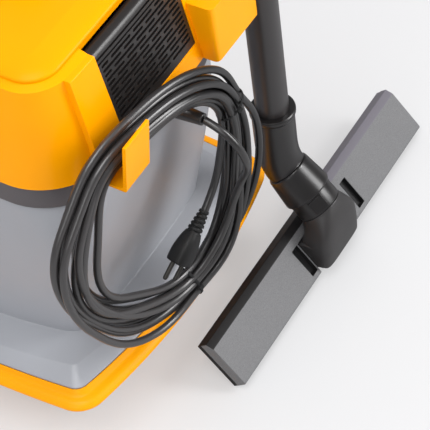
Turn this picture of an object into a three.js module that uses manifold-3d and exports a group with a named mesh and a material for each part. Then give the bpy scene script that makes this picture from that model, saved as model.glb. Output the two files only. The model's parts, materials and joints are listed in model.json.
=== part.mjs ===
// Wet-and-dry shop vacuum: stepped tank on a castored bumper base, lift-off motor head, mains lead
// coiled on a hook at the rear, and the suction wand with its floor tool parked beside it.
// Millimetres, +Z up, +Y towards the rear. The machine is built about the centre of its base on the
// floor, and the finished group is moved so that the origin lies under the middle of everything but the lead.

import * as THREE from 'three';
import { mergeVertices } from 'three/addons/utils/BufferGeometryUtils.js';
import Module from 'manifold-3d';

const wasm = await Module();
wasm.setup();

// ---------- driving dimensions ----------

const gap = 0.3;                 // between pieces that touch
const wall = 3.4;                // moulded casings

const caster = {
  across: 123, along: 127, radius: 24, width: 18, axleRadius: 3, stemRadius: 5, trail: 15, cheek: 4, plate: 5,
};

const base = { floorHeight: 58, plate: 7, lipHeight: 80, topHeight: 90, skirtInset: 24 };

const tank = { ledgeHeight: 100, footHeight: 103, topHeight: 324 };

// Level outlines: rounded rectangles whose ends (bow) and sides (sideBow) bulge outward between the corners.
const lipRing = { halfWidth: 186, rear: 179, front: -179, corner: 32, bow: 17, sideBow: 7 };
const bumperRing = { halfWidth: 169, rear: 160, front: -160, corner: 15, bow: 20, sideBow: 9 };
const skirtRing = { halfWidth: 156, rear: 147, front: -147, corner: 10, bow: 20, sideBow: 8 };
const ledgeRing = { halfWidth: 150, rear: 143, front: -145, corner: 8, bow: 24, sideBow: 15 };
const footRing = { halfWidth: 120, rear: 133, front: -138, corner: 30, bow: 3, sideBow: 12 };
const rimRing = { halfWidth: 139.5, rear: 180, front: -150, corner: 70, bow: 3, sideBow: 0 };

const seal = { height: 2.4, width: 7 };

const band = { height: 30, proud: 3, plate: 4, intake: 15 };

const head = {
  bottom: { halfWidth: 145.5, rear: 187.5, front: -160, corner: 72, bow: 1.5, sideBow: 0 },
  rim: { halfWidth: 128.5, rear: 168.5, front: -142, corner: 38.5, bow: 1.5, sideBow: 0 },
  rimDrop: 110.7, chamferHeight: 3, chamferInset: 8,
};

// The middle of the head's rear wall stands proud of the corners and carries the grille.
const fairing = { halfWidth: 98, proud: 6.5 };

const cover = { inset: 0.6, rear: 160, edge: 3, dome: 7, domeInset: 26, skin: 3 };

const grille = {
  halfWidth: 62, drop: 92, thickness: 4, recess: 0.8, topStep: 3, topBar: 12,
  rows: 13, slotLength: 27, slotHeight: 2.8, pitch: 5.2, bridge: 5, margin: 4,
};

const handle = { front: -72, rear: 92, width: 30, rise: 42, bar: 13, post: 18 };

const hook = { left: 70, width: 38, reach: 217, height: 61, flare: 8, thickness: 3.4, armDrop: 9 };

const holder = {
  near: -66, far: -184, rear: 222, height: 66, corner: 8, root: 150,
  side: 188, cheekInset: 10, cheekDepth: 8, heel: [-130, 130], toe: [-100, 120],
};

const relief = {
  x: -10, reach: 226, baseRadius: 8.2, tipRadius: 5.6, flange: 11, flangeThickness: 3, ribs: 5, hole: 5.9,
};

const inlet = { height: 236, bore: 20.5, tube: 24.5, flange: 38, flangeThickness: 5, reach: 40 };

const latch = { drop: 28, width: 36, pinRadius: 2.5, barrel: 6, ear: 6, thickness: 5, standOff: 7.5 };

const motor = {
  radius: 62, height: 88, skin: 3.5, eye: 22, shaft: 4, neck: 14, neckRise: 4,
  vents: 6, ventHalfWidth: 14, ventFrom: 8, ventTo: 24,
  statorFrom: 34, statorLength: 40, armature: 28, armatureInset: 2,
  fan: 50, fanFrom: 12, fanHub: 9, fanDisc: 2, blade: 8, blades: 8,
};

const cage = { radius: 38, skin: 3.2, length: 80, ball: 20, windows: 6 };

const filter = {
  outer: 72, inner: 46, length: 120, pleats: 24, pleatDepth: 6, cap: 76, capThickness: 8, knob: 16,
};

const rocker = {
  halfWidth: 8, halfLength: 13, throwAngle: 8, frame: 5, frameThickness: 3, depth: 8, height: 54,
};

const wand = {
  x: -156, y: 203.5, radius: 17.5, bore: 16, lower: 470, upper: 498, socketDepth: 38, socketRadius: 19.6,
};

const elbow = {
  collarTop: 76, collarRadius: 22.5, lipRadius: 24.3, lipHeight: 6, tilt: 40.6, cuffStart: 16, spigot: 19.6,
};

const cuff = { start: 23.75, end: 27.5, length: 35, ring: 25, ringLength: 20, tabWidth: 17, tabRise: 2 };

const neck = { halfWidth: 35, duct: 15.5, drum: 20.5, pinRadius: 2.5, pivotDepth: 3.2, pivotBack: 21.4 };

const tool = {
  length: 400, width: 61, top: 27.9, coverDepth: 14.6, soleDepth: 6.2, skin: 2.5,
  edge: 3, slot: 12, slotEnd: 18, brushWidth: 4, brushInset: 6, brushProud: 5, pocketOuter: 58, pocketDepth: 7,
};

const cord = { radius: 3.9, sides: 8 };

// The coil hangs from the hook in an upright plane that swings out a little towards the wand.
// Each row of its ring is an angle in degrees, the middle radius and the half width there.
const coil = {
  hookX: 90, hookY: 203.5, swing: 10, centreAcross: -28, centreHeight: 262, halfDepth: 12,
  ring: [
    [0, 107, 22], [30, 116, 33], [48, 122, 26], [66, 137, 20], [90, 131, 22], [115, 138, 19],
    [135, 140, 17], [155, 128, 21], [180, 115, 30], [210, 119, 34], [235, 125, 28], [262, 119, 27],
    [300, 105, 29], [330, 101, 18],
  ],
};

const tie = { width: 4.6, band: 1.6, clearance: 1.3, headLength: 7, headDepth: 5, angles: [151, 256] };

// Points along the uncoiled stretches: across the coil's plane, outward from it, and up.
const leadRoute = [
  [-102.4, 6, 342], [-104.6, 20.5, 339.8], [-106.8, 32.5, 331.8], [-109, 40.6, 319.8], [-111.5, 43.5, 305.5],
  [-115, 41.6, 290.5], [-119, 36, 276.5], [-123.5, 27.5, 263.5], [-129, 15.6, 250],
];
const tailRoute = [[-91.5, 0, 223.2], [-98, 0, 229], [-103, 0, 236]];

const plug = {
  across: -90, height: 222, angle: -38, bootLength: 24, bootRadius: 6, bodyLength: 34, bodyHalfWidth: 13,
  bodyHalfDepth: 15, pinLength: 19, pinRadius: 2.4, pinSpacing: 19, neckRadius: 9,
};

const colours = {
  yellow: 0xffc000, orange: 0xffb000, tankGrey: 0x9a9ca2, bandGrey: 0x55504f, dark: 0x2b2b2d,
  toolGrey: 0x4a4a4b, rubber: 0x1c1c1d, steel: 0xb8babd, white: 0xe6e6e0, filter: 0xd9d2c0, red: 0xb02a22,
};

// ---------- helpers ----------

const rad = THREE.MathUtils.degToRad;

function solid(geometry) {
  const bare = geometry.clone();
  for (const name of Object.keys(bare.attributes)) if (name !== 'position') bare.deleteAttribute(name);
  const merged = mergeVertices(bare, 1e-4);
  return new wasm.Manifold(new wasm.Mesh({
    numProp: 3,
    vertProperties: new Float32Array(merged.attributes.position.array),
    triVerts: new Uint32Array(merged.index.array),
  }));
}

function geometryOf(body) {
  const mesh = body.getMesh();
  const geometry = new THREE.BufferGeometry();
  geometry.setAttribute('position', new THREE.BufferAttribute(new Float32Array(mesh.vertProperties), 3));
  geometry.setIndex(new THREE.BufferAttribute(new Uint32Array(mesh.triVerts), 1));
  geometry.computeVertexNormals();
  return geometry;
}

const join = (...bodies) => bodies.reduce((a, b) => a.add(b));
const cut = (body, ...tools) => tools.reduce((a, b) => a.subtract(b), body);

// A closed skin through level rings with the same number of points, each anticlockwise seen from above.
function loft(rings) {
  const count = rings[0].length;
  const points = rings.flat();
  const middle = (ring) => ring.reduce((sum, p) => sum.add(p), new THREE.Vector3()).divideScalar(count);
  points.push(middle(rings[0]), middle(rings.at(-1)));
  const [below, above] = [points.length - 2, points.length - 1];
  const lastRing = (rings.length - 1) * count;
  const index = [];
  for (let j = 0; j < count; j += 1) {
    const k = (j + 1) % count;
    for (let i = 0; i < rings.length - 1; i += 1) {
      const [a, b, c, d] = [i * count + j, i * count + k, (i + 1) * count + k, (i + 1) * count + j];
      index.push(a, b, c, a, c, d);
    }
    index.push(below, k, j, above, lastRing + j, lastRing + k);
  }
  const geometry = new THREE.BufferGeometry().setFromPoints(points);
  geometry.setIndex(index);
  return solid(geometry);
}

// Points of a level outline, anticlockwise from above; every outline has the same number of points.
function outlineAt(z, ring, by = 0) {
  const arcSteps = 5;
  const edgeSteps = 6;
  const corner = ring.corner + by;
  const [east, north, south] = [ring.halfWidth + by, ring.rear + by, ring.front - by];
  const flatX = east - corner;
  const middleY = (north + south) / 2;
  const flatY = (north - south) / 2 - corner;
  const points = [];
  const arc = (cx, cy, start) => {
    for (let i = 0; i <= arcSteps; i += 1) {
      const angle = rad(start + (90 * i) / arcSteps);
      points.push(new THREE.Vector3(cx + corner * Math.cos(angle), cy + corner * Math.sin(angle), z));
    }
  };
  const end = (fromX, y, rise) => {
    for (let i = 1; i < edgeSteps; i += 1) {
      const t = 1 - (2 * i) / edgeSteps;
      points.push(new THREE.Vector3(fromX * t, y + rise * (1 - t * t), z));
    }
  };
  const side = (fromY, x, rise) => {
    for (let i = 1; i < edgeSteps; i += 1) {
      const t = 1 - (2 * i) / edgeSteps;
      points.push(new THREE.Vector3(x + rise * (1 - t * t), middleY + fromY * t, z));
    }
  };
  arc(flatX, north - corner, 0);
  end(flatX, north, ring.bow);
  arc(-flatX, north - corner, 90);
  side(flatY, -east, -ring.sideBow);
  arc(-flatX, south + corner, 180);
  end(-flatX, south, -ring.bow);
  arc(flatX, south + corner, 270);
  side(-flatY, east, ring.sideBow);
  return points;
}

function box(x0, x1, y0, y1, z0, z1) {
  const geometry = new THREE.BoxGeometry(x1 - x0, y1 - y0, z1 - z0);
  return solid(geometry.translate((x0 + x1) / 2, (y0 + y1) / 2, (z0 + z1) / 2));
}

// Turned body about Z through [radius, height] points that start and end on the axis or close on themselves.
function turned(profile, segments = 24) {
  const points = profile.map(([r, z]) => new THREE.Vector2(r, z));
  return solid(new THREE.LatheGeometry(points, segments).rotateX(Math.PI / 2));
}

const rod = (radius, z0, z1, segments = 20) => turned([[0, z0], [radius, z0], [radius, z1], [0, z1]], segments);

const sleeve = (outer, inner, z0, z1, segments = 24) =>
  turned([[inner, z0], [outer, z0], [outer, z1], [inner, z1], [inner, z0]], segments);

// Flat outline in the YZ plane carried along X from x0 to x1.
function sideProfile(points, x0, x1, holes = []) {
  const shape = new THREE.Shape(points.map(([y, z]) => new THREE.Vector2(y, z)));
  for (const hole of holes) shape.holes.push(new THREE.Path(hole.map(([y, z]) => new THREE.Vector2(y, z))));
  const geometry = new THREE.ExtrudeGeometry(shape, { depth: x1 - x0, bevelEnabled: false, curveSegments: 8 });
  geometry.rotateX(Math.PI / 2).rotateZ(Math.PI / 2);
  return solid(geometry.translate(x0, 0, 0));
}

function plan(points, z0, z1) {
  const shape = new THREE.Shape(points.map(([x, y]) => new THREE.Vector2(x, y)));
  return solid(new THREE.ExtrudeGeometry(shape, { depth: z1 - z0, bevelEnabled: false }).translate(0, 0, z0));
}

const alongY = (body) => body.rotate([-90, 0, 0]);      // turns +Z to +Y
const alongX = (body) => body.rotate([0, 90, 0]);       // turns +Z to +X

const machine = new THREE.Group();

function addTo(parent, name, body, colour, roughness = 0.5, metalness = 0) {
  const material = new THREE.MeshStandardMaterial({ color: colour, roughness, metalness });
  const mesh = new THREE.Mesh(geometryOf(body), material);
  mesh.name = name;
  parent.add(mesh);
  return mesh;
}

const add = (...piece) => addTo(machine, ...piece);

// ---------- shared outlines ----------

const tankBottom = base.floorHeight + base.plate + gap;
function tankBody(by, top) {
  return loft([
    outlineAt(tankBottom - by, skirtRing, by),
    outlineAt(base.topHeight, bumperRing, by),
    outlineAt(tank.ledgeHeight + by, ledgeRing, by),
    outlineAt(tank.footHeight + by, footRing, by),
    outlineAt(top, rimRing, by),
  ]);
}

const bandBottom = tank.topHeight + seal.height + 2 * gap;
const headBottom = bandBottom + band.height + gap;
const rimHeight = headBottom + head.rimDrop;
const headTop = rimHeight + head.chamferHeight;

// The head's outline at a height: from its bottom to its rim, then drawn in over the chamfer.
function headRing(z) {
  const { bottom, rim } = head;
  const t = Math.min((z - headBottom) / head.rimDrop, 1);
  const inset = head.chamferInset * Math.max((z - rimHeight) / head.chamferHeight, 0);
  const level = (key) => bottom[key] + (rim[key] - bottom[key]) * t;
  return {
    halfWidth: level('halfWidth') - inset, rear: level('rear') - inset, front: level('front') + inset,
    corner: level('corner') - inset, bow: level('bow'), sideBow: 0,
  };
}

function headBody(by, bottom, top) {
  const levels = [bottom, rimHeight, Math.min(top, headTop)];
  return loft(levels.map((z) => outlineAt(z, headRing(z), by)));
}

const farRear = head.bottom.rear + 40;

// The head's outer form with the proud rear fairing, grown on all sides.
function headForm(by, bottom = headBottom) {
  const half = fairing.halfWidth + by;
  const proud = headBody(fairing.proud + by, bottom, headTop)
    .intersect(box(-half, half, 0, farRear, bottom, rimHeight + Math.max(by, 0)));
  return join(headBody(by, bottom, headTop), proud);
}

const coverLevel = headTop + gap;
const topRing = headRing(headTop);

function coverBody(by) {
  const edge = {
    halfWidth: topRing.halfWidth - cover.inset, rear: cover.rear, front: topRing.front + cover.inset,
    corner: topRing.corner - cover.inset, bow: 0, sideBow: 0,
  };
  const dome = coverLevel + cover.edge + cover.dome;
  return loft([
    outlineAt(coverLevel - (by < 0 ? cover.skin : by), edge, by),
    outlineAt(coverLevel + cover.edge + by, edge, by),
    outlineAt(coverLevel + cover.edge + cover.dome * 0.6 + by, edge, by - cover.domeInset / 3),
    outlineAt(dome + by, edge, by - cover.domeInset),
  ]);
}

// ---------- base and castors ----------

function buildBase() {
  const outer = loft([
    outlineAt(base.floorHeight, lipRing, -base.skirtInset),
    outlineAt(base.lipHeight - 5, lipRing),
    outlineAt(base.lipHeight, lipRing, -1),
    outlineAt(base.lipHeight + 3.5, lipRing, -6),
    outlineAt(base.lipHeight + 4.5, lipRing, -13),
    outlineAt(base.topHeight - gap, bumperRing, 1.2),
  ]);
  let body = cut(outer, tankBody(gap, base.topHeight + 40));
  const stemHole = rod(caster.stemRadius + gap, base.floorHeight - 1, base.floorHeight + base.plate + 1);
  for (const [x, y] of casterPlaces()) body = cut(body, stemHole.translate([x, y, 0]));
  add('base_bumper', body, colours.orange, 0.4);
}

function casterPlaces() {
  const { across: x, along: y } = caster;
  return [[x, y], [-x, y], [-x, -y], [x, -y]];
}

function buildCaster(number, x, y) {
  const group = new THREE.Group();
  group.position.set(x, y, 0);
  machine.add(group);
  const plateTop = base.floorHeight - gap;
  const plateBottom = plateTop - caster.plate;
  const inner = caster.width / 2 + gap + 0.5;
  const outer = inner + caster.cheek;
  const axleEnd = caster.axleRadius + 4;
  const trail = caster.trail;
  const cheekOutline = [
    [10, plateBottom + 1], [-10 - trail / 2, plateBottom + 1], [-trail - axleEnd, caster.radius],
    [-trail - axleEnd * 0.6, caster.radius - axleEnd * 0.7],
    [-trail + axleEnd * 0.6, caster.radius - axleEnd * 0.7],
    [-trail + axleEnd, caster.radius],
  ];
  const cheeks = [[inner, outer], [-outer, -inner]].map(([a, b]) => sideProfile(cheekOutline, a, b));
  const plate = rod(outer + 1, plateBottom, plateTop, 16);
  const stem = rod(caster.stemRadius, plateTop - 1, base.floorHeight + base.plate - 1, 12);
  const axleHole = alongX(rod(caster.axleRadius + gap, -outer - 1, outer + 1, 12));
  const hole = axleHole.translate([0, -trail, caster.radius]);
  addTo(group, `caster_fork_${number}`, cut(join(plate, stem, ...cheeks), hole), colours.dark, 0.55);

  const r = caster.radius;
  const half = caster.width / 2;
  const tread = turned([
    [caster.axleRadius + gap, -half], [r - 8, -half], [r - 2.5, -half + 1], [r, -half + 4], [r, half - 4],
    [r - 2.5, half - 1], [r - 8, half], [caster.axleRadius + gap, half], [caster.axleRadius + gap, -half],
  ], 24);
  const place = (body) => alongX(body).translate([0, -trail, r]);
  addTo(group, `caster_wheel_${number}`, place(tread), colours.rubber, 0.7);
  const axle = place(rod(caster.axleRadius, -outer - 1.5, outer + 1.5, 16));
  addTo(group, `caster_axle_${number}`, axle, colours.steel, 0.3, 0.9);
}

// ---------- tank ----------

const latchHeight = tank.topHeight - latch.drop;

function latchEar(side, y) {
  const x = rimRing.halfWidth + latch.standOff;
  const ear = box(rimRing.halfWidth - 4, x + latch.barrel, y - latch.ear / 2, y + latch.ear / 2,
    latchHeight - latch.barrel - 3, latchHeight + latch.barrel);
  return side > 0 ? ear : ear.mirror([1, 0, 0]);
}

function buildTank() {
  const open = tank.topHeight + 5;
  const inside = loft([
    outlineAt(tankBottom + wall, skirtRing, -wall),
    outlineAt(base.topHeight - wall, bumperRing, -wall),
    outlineAt(tank.ledgeHeight - wall, ledgeRing, -wall),
    outlineAt(tank.footHeight - wall, footRing, -wall),
    outlineAt(open, rimRing, -wall),
  ]);
  let shell = tankBody(0, tank.topHeight);
  const earY = latch.width / 2 + gap + latch.ear / 2;
  for (const side of [1, -1]) for (const y of [earY, -earY]) shell = join(shell, latchEar(side, y));
  const pinX = rimRing.halfWidth + latch.standOff;
  const pinHole = alongY(rod(latch.pinRadius + gap, -earY - latch.ear, earY + latch.ear, 16));
  shell = cut(shell, pinHole.translate([pinX, 0, latchHeight]), pinHole.translate([-pinX, 0, latchHeight]));
  const port = alongY(rod(inlet.tube + 2 * gap, -30, 30)).translate([0, rimRing.front + 5, inlet.height]);
  add('tank', cut(shell, inside, port), colours.tankGrey, 0.45);
}

function buildSeal() {
  const z0 = tank.topHeight + gap;
  const outer = loft([z0, z0 + seal.height].map((z) => outlineAt(z, rimRing, -0.8)));
  const inner = loft([z0 - 1, z0 + seal.height + 1].map((z) => outlineAt(z, rimRing, -0.8 - seal.width)));
  add('tank_seal', cut(outer, inner), colours.rubber, 0.8);
}

function buildInlet() {
  const outside = rimRing.front;
  const tip = outside - inlet.reach;
  const body = alongY(turned([
    [inlet.bore, tip], [inlet.tube - 1, tip], [inlet.tube + 2, tip + 3], [inlet.tube + 2, tip + 9],
    [inlet.tube, tip + 12], [inlet.tube, outside - inlet.flangeThickness - 2],
    [inlet.flange, outside - inlet.flangeThickness], [inlet.flange, outside + 8], [inlet.tube, outside + 8],
    [inlet.tube, outside + 22], [inlet.bore, outside + 22], [inlet.bore, tip],
  ], 28)).translate([0, 0, inlet.height]);
  const shellOutside = tankBody(gap, tank.topHeight);
  const core = alongY(rod(inlet.tube + 0.01, tip - 1, outside + 40, 28)).translate([0, 0, inlet.height]);
  add('inlet_port', cut(body, cut(shellOutside, core)), colours.dark, 0.5);
}

function buildLatch(side, name) {
  const x = rimRing.halfWidth + latch.standOff;
  const half = latch.width / 2;
  const top = headBottom - 3;
  const z = latchHeight;
  const claw = rimRing.halfWidth + band.proud + 1 + gap;
  const outline = [
    [x - 1.5, z], [x + latch.thickness, z], [x + latch.thickness + 3, top - 20], [x + latch.thickness, top],
    [claw, top], [claw, top - 6], [x - 1.5, top - 9],
  ];
  const shape = plan(outline, -half, half).rotate([90, 0, 0]);
  const barrel = alongY(rod(latch.barrel, -half, half, 20)).translate([x, 0, z]);
  const bore = alongY(rod(latch.pinRadius + gap, -half - 1, half + 1, 16)).translate([x, 0, z]);
  const pinEnd = half + gap + latch.ear + 1;
  const pin = alongY(rod(latch.pinRadius, -pinEnd, pinEnd, 16)).translate([x, 0, z]);
  const turn = (body) => (side > 0 ? body : body.rotate([0, 0, 180]));
  add(`latch_${name}`, turn(cut(join(shape, barrel), bore)), colours.dark, 0.5);
  add(`latch_pin_${name}`, turn(pin), colours.steel, 0.3, 0.9);
}

// ---------- head ----------

function buildBand() {
  const top = bandBottom + band.height;
  const inner = band.proud - wall;
  const outer = loft([outlineAt(bandBottom, rimRing, band.proud), outlineAt(top, rimRing, band.proud + 1)]);
  const hollow = loft([outlineAt(bandBottom - 1, rimRing, inner), outlineAt(top - band.plate, rimRing, inner)]);
  const eye = rod(band.intake, bandBottom, top + 1, 24);
  const rear = rimRing.rear + rimRing.bow;
  const reliefBore = alongY(rod(relief.hole, rear - wall * 4, rear + wall * 4, 16));
  const reliefHole = reliefBore.translate([relief.x, 0, reliefHeight]);
  const collar = sleeve(filter.inner - gap, cage.radius + 4, bandBottom + 4, top - band.plate + 1);
  add('head_band', cut(join(cut(outer, hollow), collar), eye, reliefHole), colours.bandGrey, 0.55);
}

const reliefHeight = bandBottom + band.height / 2;

function buildShroud() {
  const lowered = headForm(-wall).translate([0, 0, -wall]);
  const rest = 9;
  const opening = loft([headTop - 10, headTop + 5].map((z) => outlineAt(z, topRing, -rest)));
  const window = box(-grille.halfWidth - gap, grille.halfWidth + gap, cover.rear, farRear,
    headTop - grille.drop - gap, headTop + 5);
  const switchHole = switchPlace(box(-rocker.halfWidth - 2.4, rocker.halfWidth + 2.4,
    -20, 20, -rocker.halfLength - 2.4, rocker.halfLength + 2.4));
  add('head_shroud', cut(headForm(0), lowered, opening, window, switchHole), colours.yellow, 0.35);
}

function buildGrille() {
  const bottom = headTop - grille.drop;
  const top = rimHeight;
  const skin = grille.recess + grille.thickness;
  const hollow = headForm(-skin, headBottom - 20).translate([0, 0, headTop - top - grille.topStep - skin]);
  const panel = cut(headForm(-grille.recess), hollow)
    .intersect(box(-grille.halfWidth, grille.halfWidth, cover.rear + gap, farRear, bottom, top));
  const step = grille.slotLength + grille.bridge;
  const side = grille.halfWidth - grille.margin;
  const slotAcross = Math.ceil((2 * side) / step) + 1;
  const slots = [];
  for (let row = 0; row < grille.rows; row += 1) {
    const z = top - grille.topBar - (row + 1) * grille.pitch;
    const start = -side - (row % 2) * (step / 2);
    for (let i = 0; i < slotAcross; i += 1) {
      const x0 = Math.max(start + i * step, -side);
      const x1 = Math.min(start + i * step + grille.slotLength, side);
      if (x1 - x0 > grille.bridge) slots.push(box(x0, x1, cover.rear + 2, farRear, z, z + grille.slotHeight));
    }
  }
  add('rear_grille', cut(panel, ...slots), colours.dark, 0.5);
}

function buildCover() {
  const skin = coverBody(-cover.skin).translate([0, 0, -cover.skin]);
  add('top_cover', cut(coverBody(0), skin), colours.yellow, 0.35);
}

function buildHandle() {
  const z0 = coverLevel + cover.edge;
  const top = coverLevel + cover.edge + cover.dome + handle.rise;
  const { front, rear, bar, post } = handle;
  const outline = [
    [front, z0], [front + 6, top - 14], [front + 14, top - 4], [front + 26, top], [rear - 26, top],
    [rear - 14, top - 4], [rear - 6, top - 14], [rear, z0],
  ];
  const grip = [
    [front + post, z0 - 1], [front + post + 6, top - bar - 6], [front + post + 14, top - bar],
    [rear - post - 14, top - bar], [rear - post - 6, top - bar - 6], [rear - post, z0 - 1],
  ];
  const arch = cut(sideProfile(outline, -handle.width / 2, handle.width / 2),
    sideProfile(grip, -handle.width, handle.width));
  add('carry_handle', cut(arch, coverBody(gap)), colours.dark, 0.55);
}

function buildHook() {
  const floor = headBottom + 2;
  const lean = hook.height * Math.tan(rad(hook.flare));
  const t = hook.thickness;
  const outline = [
    [150, floor], [hook.reach + t, floor], [hook.reach + t + lean, floor + hook.height],
    [hook.reach + lean, floor + hook.height], [hook.reach, floor + t], [184, floor + t],
    [176, floor + t + hook.armDrop], [150, floor + t + hook.armDrop],
  ];
  const body = sideProfile(outline, hook.left, hook.left + hook.width);
  add('cord_hook', cut(body, headForm(gap, headBottom - 2)), colours.yellow, 0.35);
}

function buildHolder() {
  const r = holder.corner;
  const bevel = r * 0.3;
  const { near, far, rear, side } = holder;
  const outline = [
    [near, holder.root], [near, rear - r], [near - bevel, rear - bevel], [near - r, rear],
    [far + r, rear], [far + bevel, rear - bevel], [far, rear - r], [far, side],
    [far + holder.cheekInset, side - holder.cheekDepth], holder.heel, holder.toe,
  ];
  const z0 = headBottom;
  const z1 = z0 + holder.height;
  const grip = wand.radius + 2 * gap;
  const channel = rod(grip, z0 - 1, z1 + 1, 28).translate([wand.x, wand.y, 0]);
  const mouth = box(wand.x - grip, wand.x + grip, wand.y, rear + 10, z0 - 1, z1 + 1);
  const counter = outline.slice().reverse();
  add('wand_holder', cut(plan(counter, z0, z1), headForm(gap, headBottom - 2), channel, mouth),
    colours.orange, 0.35);
}

function buildRelief() {
  const start = rimRing.rear + rimRing.bow + band.proud + 1 + gap;
  const end = relief.reach;
  const profile = [[0, start], [relief.flange, start], [relief.flange, start + relief.flangeThickness]];
  const first = start + relief.flangeThickness + 1;
  const step = (end - first) / relief.ribs;
  for (let i = 0; i < relief.ribs; i += 1) {
    const r = THREE.MathUtils.lerp(relief.baseRadius, relief.tipRadius, i / (relief.ribs - 1));
    const z = first + i * step;
    profile.push([r, z], [r, z + step * 0.6], [r - 1, z + step * 0.7]);
    if (i < relief.ribs - 1) profile.push([r - 1, z + step * 0.95]);
  }
  profile.push([relief.tipRadius - 1, end], [0, end]);
  add('strain_relief', alongY(turned(profile, 14)).translate([relief.x, 0, reliefHeight]), colours.rubber, 0.6);
}

// The switch stands in the sloping front wall; its own upright is the wall's slope.
function switchPlace(body) {
  const slope = THREE.MathUtils.radToDeg(Math.atan((head.rim.front - head.bottom.front) / head.rimDrop));
  const { front, bow } = headRing(headBottom + rocker.height);
  return body.rotate([-slope, 0, 0]).translate([0, front - bow, headBottom + rocker.height]);
}

function buildSwitch() {
  const { halfWidth, halfLength, frame, frameThickness, depth } = rocker;
  const [across, up] = [halfWidth + frame, halfLength + frame];
  const plate = box(-across, across, -frameThickness - gap, -gap, -up, up);
  const sleeveBox = box(-halfWidth - 2, halfWidth + 2, -1, depth, -halfLength - 2, halfLength + 2);
  const well = box(-halfWidth - gap, halfWidth + gap, -10, depth + 5, -halfLength - gap, halfLength + gap);
  add('switch_bezel', switchPlace(cut(join(plate, sleeveBox), well)), colours.dark, 0.4);
  const dip = halfLength * Math.tan(rad(rocker.throwAngle));
  const face = [
    [-frameThickness - 2 * dip, halfLength - 2], [-frameThickness, 0], [-frameThickness + 0.3, 0.6 - halfLength],
    [3, 0.6 - halfLength + 2], [5, 0], [3, halfLength - 2.6],
  ];
  add('switch_rocker', switchPlace(sideProfile(face, -halfWidth + 0.2, halfWidth - 0.2)), colours.red, 0.35);
}

// ---------- inside the head ----------

const motorBase = bandBottom + band.height + 1;

function buildMotor() {
  const { radius: r, height: h, skin: s, eye, neck: n, neckRise } = motor;
  const z = motorBase;
  const neckTop = z + h + neckRise;
  const shaftHole = motor.shaft + gap;
  let housing = turned([
    [eye, z], [r, z], [r, z + h], [n, neckTop], [shaftHole, neckTop], [shaftHole, neckTop - s],
    [n - 2, neckTop - s], [r - s, z + h - s], [r - s, z + s], [eye, z + s], [eye, z],
  ], 24);
  for (let i = 0; i < motor.vents; i += 1) {
    const half = motor.ventHalfWidth;
    const vent = box(r - 10, r + 10, -half, half, z + motor.ventFrom, z + motor.ventTo);
    housing = cut(housing, vent.rotate([0, 0, (i * 360) / motor.vents]));
  }
  add('motor_housing', housing, colours.dark, 0.6);
  const low = z + motor.statorFrom;
  const high = low + motor.statorLength;
  add('motor_stator', sleeve(r - s - gap, motor.armature + 1, low, high, 24), colours.steel, 0.4, 0.7);
  const core = rod(motor.armature, low + motor.armatureInset, high - motor.armatureInset, 24);
  const shaft = rod(motor.shaft, z + motor.fanFrom - 2, z + h + 2, 16);
  add('motor_armature', join(shaft, core), colours.steel, 0.4, 0.8);
  const disc = z + motor.fanFrom;
  const bladeTop = disc + motor.blade;
  const hub = rod(motor.fanHub, disc, bladeTop + 3, 20);
  let fan = join(hub, rod(motor.fan, bladeTop, bladeTop + motor.fanDisc, 24));
  for (let i = 0; i < motor.blades; i += 1) {
    const blade = box(motor.fanHub - 2, motor.fan - 1, -1, 1, disc, bladeTop + 1);
    fan = join(fan, blade.rotate([0, 0, (i * 360) / motor.blades]));
  }
  add('fan_impeller', cut(fan, rod(shaftHole, disc - 5, disc + 30, 16)), colours.white, 0.5);
}

function buildCage() {
  const top = bandBottom + band.height - band.plate - gap;
  const bottom = top - cage.length;
  const r = cage.radius;
  const inner = r - cage.skin;
  let body = turned([
    [0, bottom], [r, bottom], [r, top - 3], [r + 3, top - 3], [r + 3, top], [inner, top],
    [inner, bottom + cage.skin], [0, bottom + cage.skin],
  ], 24);
  for (let i = 0; i < cage.windows; i += 1) {
    const window = box(r - 8, r + 8, -8, 8, bottom + 22, top - 12);
    body = cut(body, window.rotate([0, 0, (i * 360) / cage.windows]));
  }
  body = cut(body, rod(6, bottom - 1, bottom + 10, 16));
  add('float_cage', body, colours.dark, 0.55);
  const ballHeight = bottom + cage.skin + gap + cage.ball;
  const ball = solid(new THREE.SphereGeometry(cage.ball, 16, 10)).translate([0, 0, ballHeight]);
  add('float_ball', ball, colours.white, 0.5);
}

function buildFilter() {
  const top = bandBottom + band.height - band.plate - gap;
  const bottom = top - filter.length;
  const star = new THREE.Shape();
  for (let i = 0; i < filter.pleats * 2; i += 1) {
    const r = filter.outer - (i % 2) * filter.pleatDepth;
    const angle = (Math.PI * i) / filter.pleats;
    star[i === 0 ? 'moveTo' : 'lineTo'](r * Math.cos(angle), r * Math.sin(angle));
  }
  const pleated = solid(new THREE.ExtrudeGeometry(star, { depth: top - bottom, bevelEnabled: false }));
  const bore = rod(filter.inner, -1, top - bottom + 1, 24);
  add('filter_cartridge', cut(pleated, bore).translate([0, 0, bottom]), colours.filter, 0.9);
  const capTop = bottom - gap;
  const capBottom = capTop - filter.capThickness;
  const disc = join(rod(filter.cap, capBottom, capTop, 28), rod(filter.inner - 1, capTop - 1, capTop + 6, 24),
    box(-filter.knob * 2, filter.knob * 2, -4, 4, capBottom - filter.knob, capBottom + 1),
    rod(filter.knob, capBottom - 5, capBottom + 1, 24));
  add('filter_cap', disc, colours.dark, 0.5);
}

// ---------- wand ----------

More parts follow.
